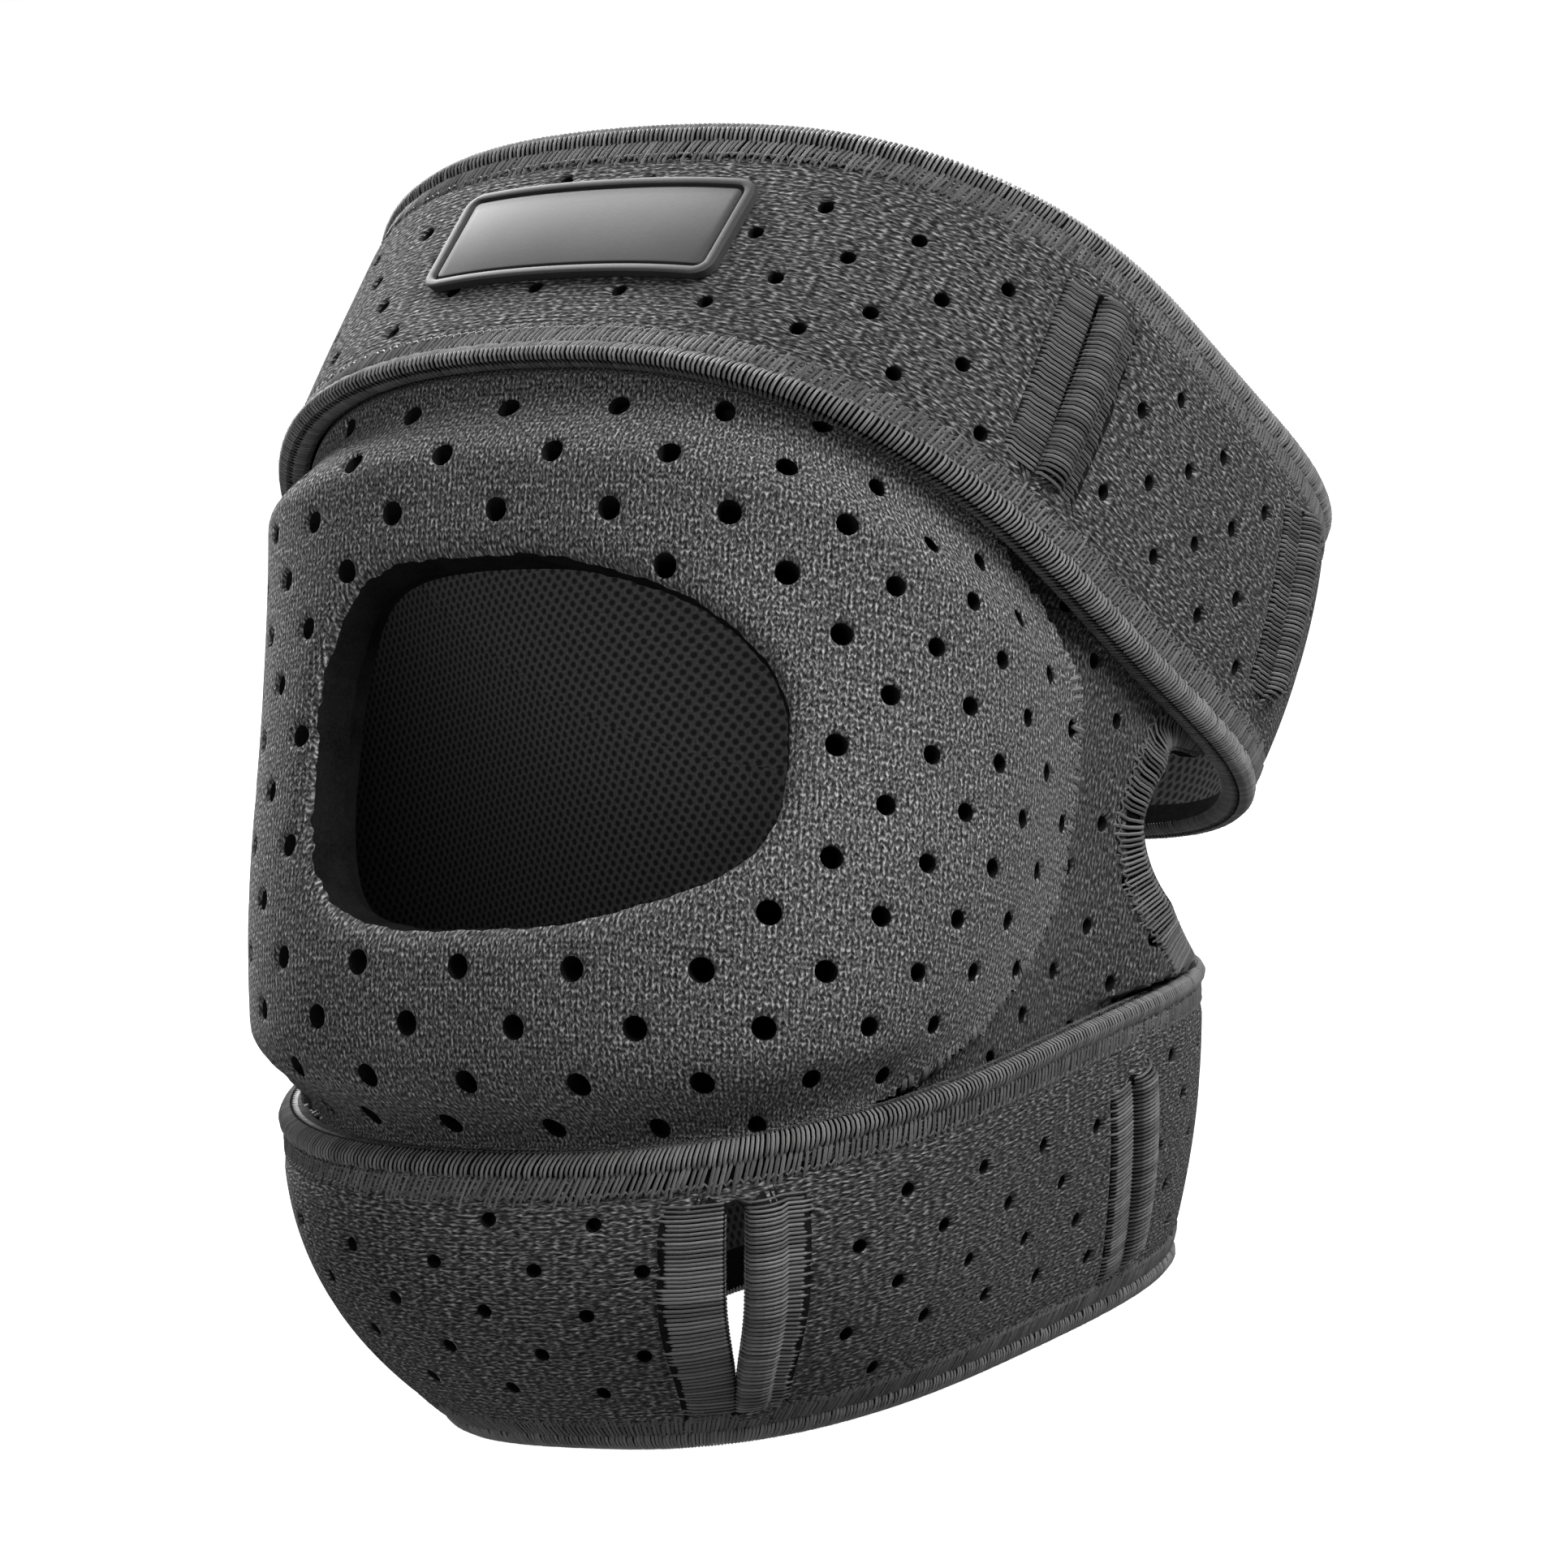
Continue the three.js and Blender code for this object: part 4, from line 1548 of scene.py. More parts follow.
    def build_slit(self, slit: Slit, finishes: Finishes, rng: Draws) -> Piece:
        """Makes the stitches that bind both sides of a slit.

        Args:
            slit: the slit.
            finishes: the brace's materials.
            rng: source of the stitches' small differences.

        Returns:
            The new object.
        """
        low, span, aside = self.slit_line(slit)
        shares = np.linspace(*slit.sewn, slit.steps)
        half = np.maximum(slit.half(np.minimum(shares, slit.blunt[0])), SLIT_CUT)[:, None]
        centre = low + shares[:, None] * span
        threads = []
        for line, lip in ((centre - half * aside, slit.left), ((centre + half * aside)[::-1], slit.right)):
            seam = Seam(line, self.face_depth, self.place, False)
            roll = lip.roll or lip.width * lip.body
            flat = [(lip.width * share, lift) for share, lift in SLIT_BAND]
            over = [(roll * share, lift) for share, lift in SLIT_ROLL]
            stitches = Stitching(
                [*flat, *over, *SLIT_SIDE],
                pitch=0.6,
                slant=0.3,
                radius=0.21,
                unevenness=0.06,
                upright=roll / lip.width,
                shades=(0.0, 0.6),
            )
            threads.append(stitches.mesh(seam, rng))
        binding = join_parts(f"{slit.node}_threads", [], threads, finishes)
        declare(binding, slit.node)
        return binding


FLAT_LIP = Lip(8.0, 0.3)
ROLLED_LIP = Lip(8.0, 0.3, 4.8, 2.4)
LOWER_HOLES = HoleGrid(0.3, 38.0, 13.4, 6.4, -4.0)
UPPER_HOLES = HoleGrid(39.6, 16.2, 12.6, 6.3, -5.0)
PANEL_HOLES = HoleGrid(0.0, 3.0, 12.6, 6.3, 0.0)
LOWER_SLITS = (
    Slit("lower_slot_edging_front", (33.2, 34.0), (0.15, 0.83), 2.5, FLAT_LIP, ROLLED_LIP),
    Slit("lower_slot_edging_side", (107.5, 100.0), (0.17, 0.78), 0.9, Lip(4.4, 0.3), Lip(5.4, 0.3, 4.4, 1.5)),
)
UPPER_SLITS = (
    Slit("upper_slot_edging_front", (62.5, 61.6), (2.2, 2.81), 0.9, Lip(5.2, 0.3), Lip(7.4, 0.3, 4.4, 1.6)),
    Slit("upper_slot_edging_side", (115.2, 111.7), (2.24, 2.81), 0.9, Lip(4.6, 0.3), Lip(6.0, 0.3, 4.2, 1.5)),
)


# Knee panel and pad

# How sharply an oval's lean grows towards its top and bottom
LEAN_POWER = 4.0


@dataclass(frozen=True)
class Oval:
    """Rounded outline in angle and level, with its own reach above and below.

    Its corners at the top and bottom may lean to the left, and its left side may reach further.

    Attributes:
        level: level of its middle.
        half_angle: degrees from its middle to its right side.
        below: levels from its middle to its bottom.
        below_power: how square it is below the middle, from 2 for an ellipse.
        above: levels from its middle to its top.
        above_power: how square it is above the middle.
        middle: angle of its middle.
        lean_below: degrees by which its bottom leans.
        lean_above: degrees by which its top leans.
        left_reach: how much further its left side reaches than its right one.
    """

    level: float
    half_angle: float
    below: float
    below_power: float
    above: float
    above_power: float
    middle: float
    lean_below: float = 0.0
    lean_above: float = 0.0
    left_reach: float = 1.0

    def half(self, upper: Array) -> list[Array]:
        """Lean, reach and power of the upper half where upper is true, and of the lower one elsewhere."""
        above = (self.lean_above, self.above, self.above_power)
        below = (self.lean_below, self.below, self.below_power)
        return [np.where(upper, *values) for values in zip(above, below)]

    def share(self, angle: Array, level: Array) -> Array:
        """Share of the way from the middle to the outline.

        Args:
            angle: degrees round the leg.
            level: places up the leg.

        Returns:
            A share for each place, 1 on the outline.
        """
        lean, reach, power = self.half(level > self.level)
        up = np.abs(level - self.level) / reach
        aside = (angle - self.middle + lean * np.minimum(up, 1) ** LEAN_POWER) / self.half_angle
        across = np.where(aside > 0, aside, -aside / self.left_reach)
        return (across**power + up**power) ** (1 / power)

    def ring(self, steps: int, scale: float = 1.0) -> tuple[Array, Array]:
        """Angles and levels round the outline, anticlockwise.

        Args:
            steps: number of places.
            scale: size of the ring as a share of the outline.

        Returns:
            The angles and the levels.
        """
        turn = np.linspace(0, 2 * math.pi, steps, endpoint=False)
        across, up = np.cos(turn), np.sin(turn)
        lean, reach, power = self.half(up > 0)
        spread = scale / (np.abs(across) ** power + np.abs(up) ** power) ** (1 / power)
        lean = lean * np.minimum(np.abs(spread * up), 1) ** LEAN_POWER
        aside = np.where(across > 0, across, across * self.left_reach)
        return self.middle - lean + spread * self.half_angle * aside, self.level + spread * reach * up


PAD_ANGLE = 7.5
KNEE_MIDDLE = 1.5
PAD_OVAL = Oval(1.59, 75.5, 0.66, 3.0, 0.47, 4.0, PAD_ANGLE, left_reach=1.26)
OPENING_OVAL = Oval(1.505, 32.8, 0.225, 2.9, 0.24, 2.9, 5.0, 8.0, 9.0)
RING_STEPS = 1440
# Limits that keep the share of the way across the pad finite
LEAST_SHARE = 0.01
REACH_END = 1.2
# Inset and lift of the points of a stitch over the pad's edge
PAD_PATH = ((1.8, 1.35), (1.1, 1.6), (0.3, 1.55), (-0.3, 0.9), (-0.6, 0.3), (-1.1, -0.15))
LIP_COLLARS = (0.35, 0.8, 1.4, 2.2)
# Waves of a cut edge: size, number round the loop and phase
OPENING_RAGS = ((0.12, 9, 0.3), (0.08, 31, 1.7), (0.05, 83, 4.1))
EDGE_RAGS = ((0.35, 37, 0.9), (0.3, 103, 2.2), (0.3, 211, 5.0))
# Depth of the panel's outer face, and how far it drops further where a strap presses it
WING_DEPTH = -3.8
TUCK_DROP = 3.1
TUCK_BACK = (-0.17, -0.07)
# Angles over which the pad takes its left side's form, where the straps press less of it
LEFT_ANGLES = (-64.0, -24.0)
LEFT_SHORT = 0.55
# Where the wing leaves the leg, and between which levels it does
LEAVE_ANGLE = 85.0
LEAVE_RADIUS = 55.0
LEAVE_MOST = 4.0
LEAVE_TURN = 40.0
LEAVE_LOW = (1.0, 1.035)
LEAVE_HIGH = (1.8, 1.97)
# Where the cloth swells over the lower strap's edge, and by how much
BULGE = 1.3
BULGE_FRONT = (-56.0, -38.0)
BULGE_BACK = (-120.0, -95.0)
BULGE_LOW = (1.005, 1.04)
BULGE_HIGH = (1.06, 1.25)


def ragged(count: int, waves: Sequence[tuple[float, int, float]]) -> Array:
    """Small in and out of a cut edge round its loop, from waves of size, number and phase."""
    turn = np.linspace(0, 2 * math.pi, count, endpoint=False)
    return sum(size * np.sin(number * turn + phase) for size, number, phase in waves)


@dataclass(frozen=True)
class Tuck:
    """Place where the pad's edge passes under a strap.

    Attributes:
        level: level of the strap's edge.
        upwards: 1 where the pad lies above that edge and -1 where it lies below.
        full: degrees from the pad's middle up to which it is pressed fully.
        end: degrees at which the press ends.
        reach: levels from the strap's edge at which the press ends.
    """

    level: float
    upwards: int
    full: float
    end: float
    reach: float


TUCKS = (Tuck(1, 1, 42, 58, 0.11), Tuck(2, -1, 64, 78, 0.15))


class KneeCloth:
    """Flat cloth over the knee, measured from the middle of the pad.

    Args:
        form: leg form that it lies on.
    """

    def __init__(self, form: LegForm) -> None:
        self.form = form
        self.ruler = Ruler(form, KNEE_MIDDLE, Zone.KNEE)
        self.zero = float(self.ruler.run(PAD_ANGLE))

    def flat(self, angle: Array, level: Array) -> Array:
        """Flat points at angles and levels."""
        up = (level - KNEE_MIDDLE) * self.form.knee_height(angle)
        return np.column_stack([self.ruler.run(angle) - self.zero, up])

    def spot(self, flat: Array) -> tuple[Array, Array]:
        """Angles and levels at flat points."""
        angle = self.ruler.angle(flat[:, 0] + self.zero)
        return angle, KNEE_MIDDLE + flat[:, 1] / self.form.knee_height(angle)

    def place(self, flat: Array, depth: Array) -> Array:
        """Points in metres at flat points and depths."""
        return self.form.points(*self.spot(flat), depth)

    @staticmethod
    def tuck(angle: Array, level: Array) -> Array:
        """How much of the cloth is pressed under a strap.

        Args:
            angle: degrees round the leg.
            level: places up the leg.

        Returns:
            A share for each place.
        """
        away = np.abs(angle - PAD_ANGLE)
        left = 1 - smooth(*LEFT_ANGLES, angle)
        shares = []
        for tuck in TUCKS:
            beyond = (level - tuck.level) * tuck.upwards
            back = smooth(*TUCK_BACK, beyond)
            ahead = 1 - smooth(0, 1, beyond / (tuck.reach * (1 - LEFT_SHORT * left)))
            shares.append((1 - smooth(tuck.full, tuck.end, away)) * back * ahead)
        return np.maximum(*shares)

    @staticmethod
    def leave(angle: Array, level: Array) -> Array:
        """How far the wing stands off the leg, because it runs straight on past the side of the knee."""
        turn = np.radians(np.clip(angle - LEAVE_ANGLE, 0, LEAVE_TURN))
        off = np.minimum(LEAVE_RADIUS * (1 / np.cos(turn) - 1), LEAVE_MOST)
        return off * smooth(*LEAVE_LOW, level) * (1 - smooth(*LEAVE_HIGH, level))

    @staticmethod
    def bulge(angle: Array, level: Array) -> Array:
        """How far the cloth swells over the lower strap's edge on the left side."""
        beside = (1 - smooth(*BULGE_FRONT, angle)) * smooth(*BULGE_BACK, angle)
        return BULGE * beside * smooth(*BULGE_LOW, level) * (1 - smooth(*BULGE_HIGH, level))

    def seat(self, flat: Array) -> Array:
        """Depth of the base panel's outer face."""
        spot = self.spot(flat)
        stand_off = self.leave(*spot) + self.bulge(*spot)
        return WING_DEPTH - TUCK_DROP * self.tuck(*spot) + stand_off + ripple(flat)


@dataclass(frozen=True)
class Perforations:
    """Staggered holes whose columns and rows draw together round the sides.

    Attributes:
        pitch: distance between columns at the middle.
        crowding: how fast the columns draw together.
        spread: how fast the last columns part again.
        spread_from: column from which they do.
        start: height of the middle row.
        row: distance between rows at the middle.
        climb: how fast the rows climb round the sides.
        level_at: height at which a row no longer climbs.
        climb_reach: depth below that height at which a row climbs fully.
        pulled_from: height from which rows are pulled up and to the left.
        pull_left: how fast they move to the left.
        pull_up: how fast they move up.
        columns: number of columns on each side.
        rows: numbers of the lowest and the highest row.
    """

    pitch: float = 15.5
    crowding: float = 0.025
    spread: float = 2.2
    spread_from: float = 4.0
    start: float = 1.7
    row: float = 6.6
    climb: float = 0.0019
    level_at: float = 40.0
    climb_reach: float = 84.0
    pulled_from: float = 28.0
    pull_left: float = 0.0125
    pull_up: float = 0.0075
    columns: int = 7
    rows: tuple[int, int] = (-8, 6)

    def centres(self) -> Array:
        """Flat centres of all the holes."""
        found = []
        for row in range(self.rows[0], self.rows[1] + 1):
            base = self.start + self.row * row
            slope = self.climb * min(max((self.level_at - base) / self.climb_reach, 0.0), 1.0)
            for number in range(-self.columns, self.columns + 1):
                column = number + (0.5 if row % 2 == 0 else 0.0)
                across = self.pitch * column / math.sqrt(1 + self.crowding * column**2)
                across += math.copysign(self.spread * max(abs(column) - self.spread_from, 0.0) ** 2, column)
                pull = max(base - self.pulled_from, 0.0) ** 2
                found.append((across - self.pull_left * pull, base + slope * across**2 + self.pull_up * pull))
        return np.array(found)


@dataclass
class KneePad:
    """Padded ring round the kneecap, with its perforations and its sewn edge."""

    cloth: KneeCloth
    node: str = "patella_pad"
    hole_radius: float = 1.48
    hole_margin: float = 0.25
    hole_shrink: float = 0.24
    shrink_reach: tuple[float, float] = (24.0, 50.0)
    spacing: float = 0.9
    peak: float = 6.3
    free_edge: float = 1.1
    tucked_edge: float = 2.7
    seat_gap: float = 0.3
    full_from: float = 0.45
    full_to: float = 1.05
    left_sink: float = 1.9
    left_full_from: float = 0.8
    squeeze: float = 0.8
    squeeze_reach: float = 3.0
    upper_rise: float = 13.0
    upper_left_rise: float = 6.0
    lower_rise: float = 7.5
    lower_left_rise: float = 13.0
    lip_reach: float = 3.2
    lip_drop: float = 1.7
    well_floor: float = 0.2
    stitch_pitch: float = 1.6
    edge_step: float = 0.45

    def __post_init__(self) -> None:
        self.centres = Perforations().centres()
        edge = resample(self.cloth.flat(*PAD_OVAL.ring(RING_STEPS)), self.edge_step)
        self.outline = edge
        along = np.roll(edge, -1, axis=0) - np.roll(edge, 1, axis=0)
        outward = unit(np.column_stack([along[:, 1], -along[:, 0]]))
        self.ragged_edge = edge + outward * ragged(len(edge), EDGE_RAGS)[:, None]
        ring = resample(self.cloth.flat(*OPENING_OVAL.ring(RING_STEPS)), self.spacing / 2)
        self.plain_opening = ring[::2]
        self.opening = (ring + unit(ring) * ragged(len(ring), OPENING_RAGS)[:, None])[::-1]

    def top(self, flat: Array) -> Array:
        """Depth of the pad's outer face.

        Args:
            flat: points in the flat.

        Returns:
            A depth for each point.
        """
        angle, level = self.cloth.spot(flat)
        hole, rim = OPENING_OVAL.share(angle, level), PAD_OVAL.share(angle, level)
        span = np.maximum(hole / np.maximum(rim, LEAST_SHARE) - 1, LEAST_SHARE)
        reach = np.clip((hole - 1) / span, 0, REACH_END)
        tuck = self.cloth.tuck(angle, level)
        edge = self.free_edge + (self.tucked_edge - self.free_edge) * tuck
        clear = (0.5 - np.abs(level - KNEE_MIDDLE)) * self.cloth.form.knee_height(angle)
        pressed = (1 - smooth(0, self.squeeze_reach, clear)) * (1 - tuck)
        edge = edge * (1 - self.squeeze * pressed)
        left = 1 - smooth(*LEFT_ANGLES, angle)
        full_from = self.full_from + (self.left_full_from - self.full_from) * left
        puff = (self.peak - self.left_sink * left - edge) * (1 - smooth(full_from, self.full_to, reach))
        upper = self.upper_rise + (self.upper_left_rise - self.upper_rise) * left
        lower = self.lower_rise + (self.lower_left_rise - self.lower_rise) * left
        puff = puff * smooth(0, 1, clear / np.where(level > KNEE_MIDDLE, upper, lower))
        from_hole = np.clip(-loop_depth(flat, self.plain_opening), 0, self.lip_reach) / self.lip_reach
        lip = self.lip_drop * (1 - np.sqrt(1 - (1 - from_hole) ** 2))
        return self.cloth.seat(flat) + self.seat_gap + edge + puff - lip

    def lay(self, flat: Array, dimple: Array, face: Face) -> Array:
        """Points of a face in metres.

        Args:
            flat: points in the flat.
            dimple: how far each is pressed in at a perforation.
            face: the face.

        Returns:
            A row of x, y and z for each point.
        """
        if face is Face.OUTER:
            return self.cloth.place(flat, self.top(flat) - DIMPLE * dimple)
        return self.cloth.place(flat, self.cloth.seat(flat) + self.seat_gap)

    def well(self, flat: Array) -> Array:
        """Points at the bottom of a perforation."""
        return self.cloth.place(flat, self.cloth.seat(flat) + self.seat_gap + self.well_floor)

    def build(self, finishes: Finishes) -> Piece:
        """Args:
            finishes: the brace's materials.

        Returns:
            The new object.
        """
        cut = FlatCut(self.ragged_edge, [self.opening], spacing=self.spacing, collars=LIP_COLLARS)
        cut.hole_radius = self.hole_radius
        cut.holes = self.centres[cut.room(self.centres) > self.hole_radius + self.hole_margin]
        cut.sizes = 1 - self.hole_shrink * smooth(*self.shrink_reach, np.abs(cut.holes[:, 0]))
        pad = ClothBuilder(cut, self.lay, self.well).build(f"{self.node}_cloth")
        # Foam slots: real foam on the inner face and cut edges, painted shade on the perforations' floors
        dress(pad, finishes.pad, finishes.foam, finishes.foam)
        declare(pad, self.node)
        return pad

    def build_stitches(self, finishes: Finishes, rng: Draws) -> Piece:
        """Makes the stitches that hold the pad's edge to the panel.

        Args:
            finishes: the brace's materials.
            rng: source of the stitches' small differences.

        Returns:
            The new object.
        """
        line = np.vstack([self.outline, self.outline[:1]])
        seam = Seam(line, self.cloth.seat, self.cloth.place, True)
        stitches = Stitching(PAD_PATH, self.stitch_pitch, slant=0.5, radius=0.3, unevenness=0.35)
        piece = join_parts("pad_edge_stitches", [], [stitches.mesh(seam, rng)], finishes)
        declare(piece)
        return piece


@dataclass
class BasePanel:
    """Thin panel under the pad, with a wing on each side."""

    cloth: KneeCloth
    pad: KneePad
    node: str = "base_panel"
    edging_node: str = "notch_edging"
    thickness: float = 2.2
    left: float = -152.0
    low: float = 0.86
    high: float = 2.2
    notch_angle: float = 99.5
    notch_level: float = 1.62
    lower_rise: float = 25.0
    upper_rise: float = 6.0
    notch_power: float = 1.6
    flare: float = 9.0
    flare_from: float = 0.62
    opening_scale: float = 1.03
    spacing: float = 1.1
    hole_radius: float = 1.0
    hole_margin: float = 1.2
    covered_from: float = 0.5
    steps: int = 300

    def notch(self, level: Array) -> Array:
        """Angles of the wing's hollow free edge at levels.

        Args:
            level: places up the leg.

        Returns:
            An angle for each level.
        """
        below = np.clip((self.notch_level - level) / (self.notch_level - 1), 0, None)
        above = np.clip((level - self.notch_level) / (2 - self.notch_level), 0, None)
        rise = self.lower_rise * below**self.notch_power
        rise = rise + self.upper_rise * np.clip(above, 0, 1) ** self.notch_power
        flare = np.clip((above - self.flare_from) / (1 - self.flare_from), 0, 1)
        return self.notch_angle + rise + self.flare * flare**2

    def free_edge(self, low: float, high: float) -> Array:
        """Flat points up the wing's free edge."""
        levels = np.linspace(low, high, self.steps)
        return self.cloth.flat(self.notch(levels), levels)

    def outline(self) -> Array:
        """Edge of the panel in the flat, anticlockwise."""
        low_angles = np.linspace(self.left, float(self.notch(np.array(self.low))), self.steps)
        high_angles = np.linspace(float(self.notch(np.array(self.high))), self.left, self.steps)
        levels = np.linspace(self.high, self.low, self.steps)
        rows = [
            self.cloth.flat(low_angles, np.full(self.steps, self.low)),
            self.free_edge(self.low, self.high),
            self.cloth.flat(high_angles, np.full(self.steps, self.high)),
            self.cloth.flat(np.full(self.steps, self.left), levels),
        ]
        return resample(np.vstack([row[:-1] for row in rows]), self.spacing)

    def lay(self, flat: Array, dimple: Array, face: Face) -> Array:
        """Points of a face in metres.

        Args:
            flat: points in the flat.
            dimple: how far each is pressed in at a perforation.
            face: the face.

        Returns:
            A row of x, y and z for each point.
        """
        if face is Face.OUTER:
            return self.cloth.place(flat, self.cloth.seat(flat) - DIMPLE * dimple)
        return self.cloth.place(flat, self.cloth.seat(flat) - self.thickness)

    def well(self, flat: Array) -> Array:
        """Points at the bottom of a perforation."""
        return self.cloth.place(flat, self.cloth.seat(flat) - self.thickness + WELL_FLOOR)

    def build(self, finishes: Finishes) -> Piece:
        """Makes the panel, with painted shade where the pad covers it.

        Args:
            finishes: the brace's materials.

        Returns:
            The new object.
        """
        ring = self.cloth.flat(*OPENING_OVAL.ring(RING_STEPS, self.opening_scale))
        cut = FlatCut(self.outline(), [resample(ring, self.spacing)[::-1]], spacing=self.spacing)
        cut.hole_radius = self.hole_radius
        centres = PANEL_HOLES.centres(0.0, self.cloth.ruler.length / 2)
        reach = self.hole_radius * RING_SHARES[-1] + self.hole_margin
        bare = loop_depth(centres, self.pad.outline) < -reach
        cut.holes = centres[(cut.room(centres) > reach) & bare]

        def slot(middles: Array) -> Array:
            """Material slot of triangles at their middles: the near-black cut slot, painted shade, where the
            pad covers them.
            """
            covered = loop_depth(middles, self.pad.outline) > self.covered_from
            return np.where(covered, Face.CUT.value, Face.OUTER.value)

        panel = ClothBuilder(cut, self.lay, self.well).build(f"{self.node}_cloth", slot)
        # The foam slot is real foam on cut edges and perforation walls, and painted shade under the pad and
        # on the perforations' floors
        dress(panel, finishes.panel, finishes.lining, finishes.foam)
        declare(panel, self.node)
        width, height = np.ptp(cut.outline, axis=0) * MM
        area = (loop_area(cut.outline) + loop_area(cut.openings[0])) * MM**2
        return panel

    def build_edging(self, finishes: Finishes, rng: Draws) -> Piece:
        """Makes the overlocked edging of the wing's hollow edge.

        Args:
            finishes: the brace's materials.
            rng: source of the stitches' small differences.

        Returns:
            The new object.
        """
        line = self.free_edge(Zone.KNEE.value, Zone.UPPER.value)
        seam = Seam(line, self.cloth.seat, self.cloth.place, False)
        inner = self.thickness
        path = (
            (5.2, -0.2), (4.6, 0.12), (3.0, 0.2), (1.3, 0.5), (0.55, 0.25), (0.35, -inner / 2),
            (0.55, -inner - 0.25), (1.3, -inner - 0.5), (2.8, -inner - 0.2),
        )
        roll = (
            (4.8, -0.1), (3.0, 0.02), (1.6, 0.2), (0.8, 0.0), (0.6, -inner / 2), (0.8, -inner),
            (1.6, -inner - 0.2), (3.0, -inner + 0.1),
        )
        stitches = Stitching(path, pitch=0.58, slant=0.4, radius=0.21, unevenness=0.12, shades=(0.0, 0.5))
        rows = (stitches, NeedleLine(inset=4.7, lift=0.15))
        threads = [row.mesh(seam, rng) for row in rows]
        edging = join_parts(f"{self.edging_node}_threads", [Bead(roll).mesh(seam)], threads, finishes)
        declare(edging, self.edging_node)
        return edging


# Plates on the straps


@dataclass(frozen=True)
class PlateStep:
    """One step of shaping a plate's face: inset it, then raise it."""

    inset: float
    rise: float


@dataclass
class Plate:
    """Rounded plate that lies on a strap, shaped flat and then laid on it.

    Attributes:
        node: the CAD node that it stands for.
        strap: strap that carries it.
        angles: where its ends are round the leg.
        levels: where its lower and upper edges are.
        corner: radius of its corners.
        wall: height of its side.
        steps: how its face is shaped.
        slot: name of a material slot for it; not used.
        gap: distance from the strap.
        strip: distance between the cuts that let it bend.
        corner_segments: steps of a rounded corner.
        smooth_angle: sharpest edge in degrees that is shaded smooth.
    """

    node: str
    strap: Strap
    angles: tuple[float, float]
    levels: tuple[float, float]
    corner: float
    wall: float
    steps: tuple[PlateStep, ...]
    slot: str
    gap: float = 0.3
    strip: float = 1.5
    corner_segments: int = 6
    smooth_angle: float = 35.0

    def build(self, material: Material) -> Piece:
        """Makes the plate on its strap.

        Args:
            material: its material.

        Returns:
            The new object.
        """
        runs = self.strap.ruler.run(np.mod(np.array(self.angles) + 180, 360) - 180)
        width = float(np.mod(runs[1] - runs[0], self.strap.length))
        height = (self.levels[1] - self.levels[0]) * self.strap.height
        bpy.ops.object.select_all(action="DESELECT")
        bpy.ops.mesh.primitive_plane_add(size=1)
        plate = bpy.context.object
        plate.name = f"{self.node}_plate"
        bpy.ops.object.mode_set(mode="EDIT")
        bpy.ops.mesh.select_all(action="SELECT")
        bpy.ops.transform.resize(value=(width, height, 1))
        bpy.ops.mesh.bevel(offset=self.corner, segments=self.corner_segments, affect="VERTICES")
        bpy.ops.mesh.select_all(action="SELECT")
        bpy.ops.mesh.extrude_region_move(TRANSFORM_OT_translate={"value": (0, 0, self.wall)})
        for step in self.steps:
            bpy.ops.mesh.inset(thickness=step.inset, depth=0)
            if step.rise:
                bpy.ops.transform.translate(value=(0, 0, step.rise))
        for place in np.arange(-width / 2 + self.strip, width / 2, self.strip):
            bpy.ops.mesh.select_all(action="SELECT")
            bpy.ops.mesh.bisect(plane_co=(place, 0, 0), plane_no=(1, 0, 0))
        bpy.ops.mesh.select_all(action="SELECT")
        bpy.ops.mesh.normals_make_consistent(inside=False)
        bpy.ops.object.mode_set(mode="OBJECT")
        shape = np.zeros(len(plate.data.vertices) * 3)
        plate.data.vertices.foreach_get("co", shape)
        shape = shape.reshape(-1, 3)
        middle = (np.mean(self.levels) - self.strap.zone.value) * self.strap.height
        flat = np.column_stack([runs[0] + width / 2 + shape[:, 0], middle + shape[:, 1]])
        laid = self.strap.place(flat, self.gap + shape[:, 2])
        plate.data.vertices.foreach_set("co", laid.ravel())
        plate.data.update()
        bpy.ops.object.shade_smooth_by_angle(angle=math.radians(self.smooth_angle))
        plate.data.name = plate.name
        dress(plate, material)
        declare(plate, self.node)
        return plate


BADGE_STEPS = (
    PlateStep(0.2, 0.2), PlateStep(0.2, 0.08), PlateStep(0.6, 0.0), PlateStep(0.18, -0.1),
    PlateStep(0.15, -0.55), PlateStep(0.3, 0.0), PlateStep(0.18, 0.4), PlateStep(0.2, 0.08),
)
TAB_STEPS = (
    PlateStep(0.3, 0.25), PlateStep(0.3, 0.1), PlateStep(2.2, 0.0), PlateStep(0.3, -0.3),
    PlateStep(0.3, 0.3),
)


# Studio


@dataclass(frozen=True)
class SoftLight:
    """Square soft box that faces the brace."""

    name: str
    azimuth: float
    elevation: float
    distance: float
    size: float
    power: float


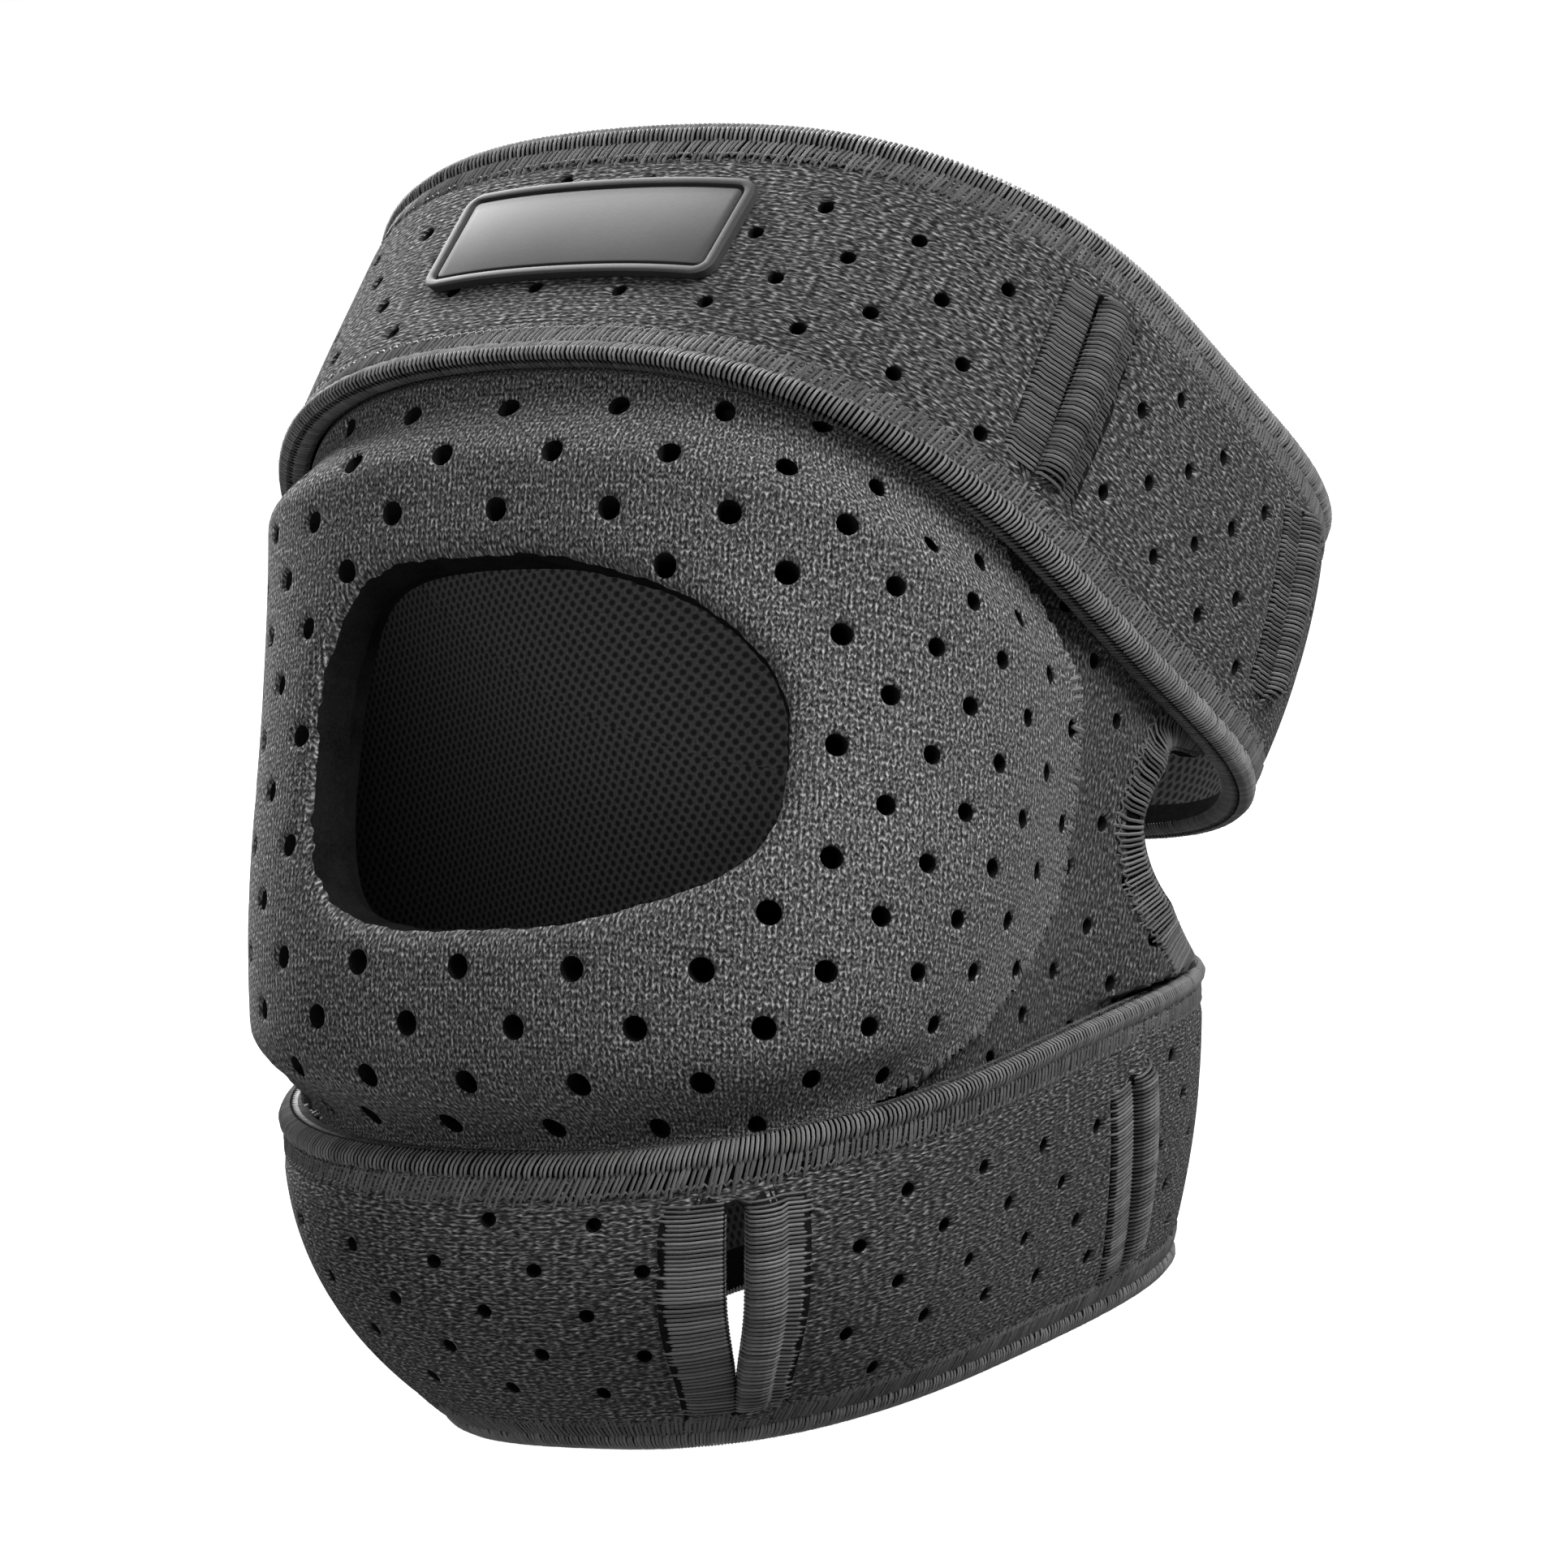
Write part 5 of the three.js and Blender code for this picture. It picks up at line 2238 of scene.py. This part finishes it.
@dataclass(frozen=True)
class Studio:
    """Pale floor, soft light and the photograph's camera."""

    azimuth: float = 32.12
    elevation: float = 8.04
    roll: float = -5.67
    distance: float = 1044.45
    target: tuple[float, float, float] = (0.0, 13.155, 75.0)
    aim_right: float = -6.52
    aim_up: float = -6.83
    lens: float = 190.95
    sensor: float = 36.0
    floor_size: float = 30.0
    floor_glow: float = 1.0
    sky: float = 0.05
    lights: tuple[SoftLight, ...] = (
        SoftLight("rim_left", -120, 38, 0.9, 0.5, 100.0),
        SoftLight("key_right", 82, 42, 0.9, 0.5, 36.0),
        SoftLight("fill_front", 0, 24, 0.9, 0.5, 7.0),
    )

    @staticmethod
    def direction(azimuth: float, elevation: float) -> Vector:
        """Unit vector from the brace towards an azimuth and an elevation."""
        turn, rise = math.radians(azimuth), math.radians(elevation)
        return Vector((math.sin(turn) * math.cos(rise), -math.cos(turn) * math.cos(rise), math.sin(rise)))

    def build(self) -> None:
        """Makes the floor, the lights, the sky and the camera."""
        bpy.ops.object.select_all(action="DESELECT")
        bpy.ops.mesh.primitive_plane_add(size=self.floor_size)
        floor = bpy.context.object
        floor.name = "studio_floor"
        material = FLOOR.material()
        shader = material.node_tree.nodes["Principled BSDF"]
        shader.inputs["Emission Color"].default_value = (1, 1, 1, 1)
        shader.inputs["Emission Strength"].default_value = self.floor_glow
        dress(floor, material)
        centre = Vector(self.target) * MM
        for light in self.lights:
            lamp = bpy.data.lights.new(light.name, "AREA")
            lamp.energy = light.power
            lamp.size = light.size
            holder = bpy.data.objects.new(light.name, lamp)
            back = self.direction(light.azimuth, light.elevation)
            holder.location = centre + back * light.distance
            holder.rotation_euler = back.to_track_quat("Z", "Y").to_euler()
            bpy.context.scene.collection.objects.link(holder)
        world = bpy.data.worlds.new("pale_sky")
        world.use_nodes = True
        sky = world.node_tree.nodes["Background"]
        sky.inputs["Color"].default_value = (1, 1, 1, 1)
        sky.inputs["Strength"].default_value = self.sky
        bpy.context.scene.world = world
        bpy.context.scene.view_settings.view_transform = "Standard"
        self.build_camera(centre)

    def build_camera(self, centre: Vector) -> None:
        """Makes the camera at the photograph's place.

        Args:
            centre: the point that it turns round, in metres.
        """
        back = self.direction(self.azimuth, self.elevation)
        turn, roll = math.radians(self.azimuth), math.radians(self.roll)
        right = Vector((math.cos(turn), math.sin(turn), 0))
        up = back.cross(right)
        rolled_right = right * math.cos(roll) + up * math.sin(roll)
        rolled_up = up * math.cos(roll) - right * math.sin(roll)
        place = centre + back * self.distance * MM
        aim = centre + (rolled_right * self.aim_right + rolled_up * self.aim_up) * MM
        axis = (place - aim).normalized()
        across = (rolled_right - axis * rolled_right.dot(axis)).normalized()
        lens = bpy.data.cameras.new("photo_camera")
        lens.lens = self.lens
        lens.sensor_width = self.sensor
        camera = bpy.data.objects.new("photo_camera", lens)
        turned = Matrix((across, axis.cross(across), axis)).transposed()
        camera.matrix_world = Matrix.Translation(place) @ turned.to_4x4()
        bpy.context.scene.collection.objects.link(camera)
        bpy.context.scene.camera = camera


def main() -> None:
    """Builds the brace, piece by piece, and the studio."""
    logging.basicConfig(level=logging.INFO, format="%(message)s")
    rng = np.random.default_rng(SEED)
    form = LegForm(SECTIONS, BANDS)
    finishes = Finishes()
    lower = Strap("lower_strap", Zone.LOWER, form, LOWER_SLITS, LOWER_HOLES)
    upper = Strap("upper_strap", Zone.UPPER, form, UPPER_SLITS, UPPER_HOLES)
    for strap in (lower, upper):
        sheet = strap.build(finishes)
        trims = [strap.build_edging(top, finishes, rng) for top in (False, True)]
        trims += [strap.build_slit(slit, finishes, rng) for slit in strap.slits]
        LOG.info("%s with %d trims", sheet.name, len(trims))
    cloth = KneeCloth(form)
    pad = KneePad(cloth)
    panel = BasePanel(cloth, pad)
    LOG.info("%s", pad.build(finishes).name)
    stitches = pad.build_stitches(finishes, rng)
    sheet = panel.build(finishes)
    edging = panel.build_edging(finishes, rng)
    LOG.info("%s, %s, %s", stitches.name, sheet.name, edging.name)
    badge = Plate(
        "badge",
        upper,
        angles=(-22, 20.3),
        levels=(2.35, 2.745),
        corner=2.5,
        wall=1.3,
        steps=BADGE_STEPS,
        slot="badge_rubber",
    )
    LOG.info("%s", badge.build(finishes.rubber).name)
    for strap in (lower, upper):
        base = strap.zone.value
        tab = Plate(
            strap.node.replace("strap", "closure_tab"),
            strap,
            angles=(158, 202),
            levels=(base + 0.17, base + 0.83),
            corner=3.0,
            wall=1.2,
            steps=TAB_STEPS,
            slot="closure_tape",
        )
        LOG.info("%s", tab.build(finishes.tape).name)
    Studio().build()


if __name__ == "__main__":
    main()
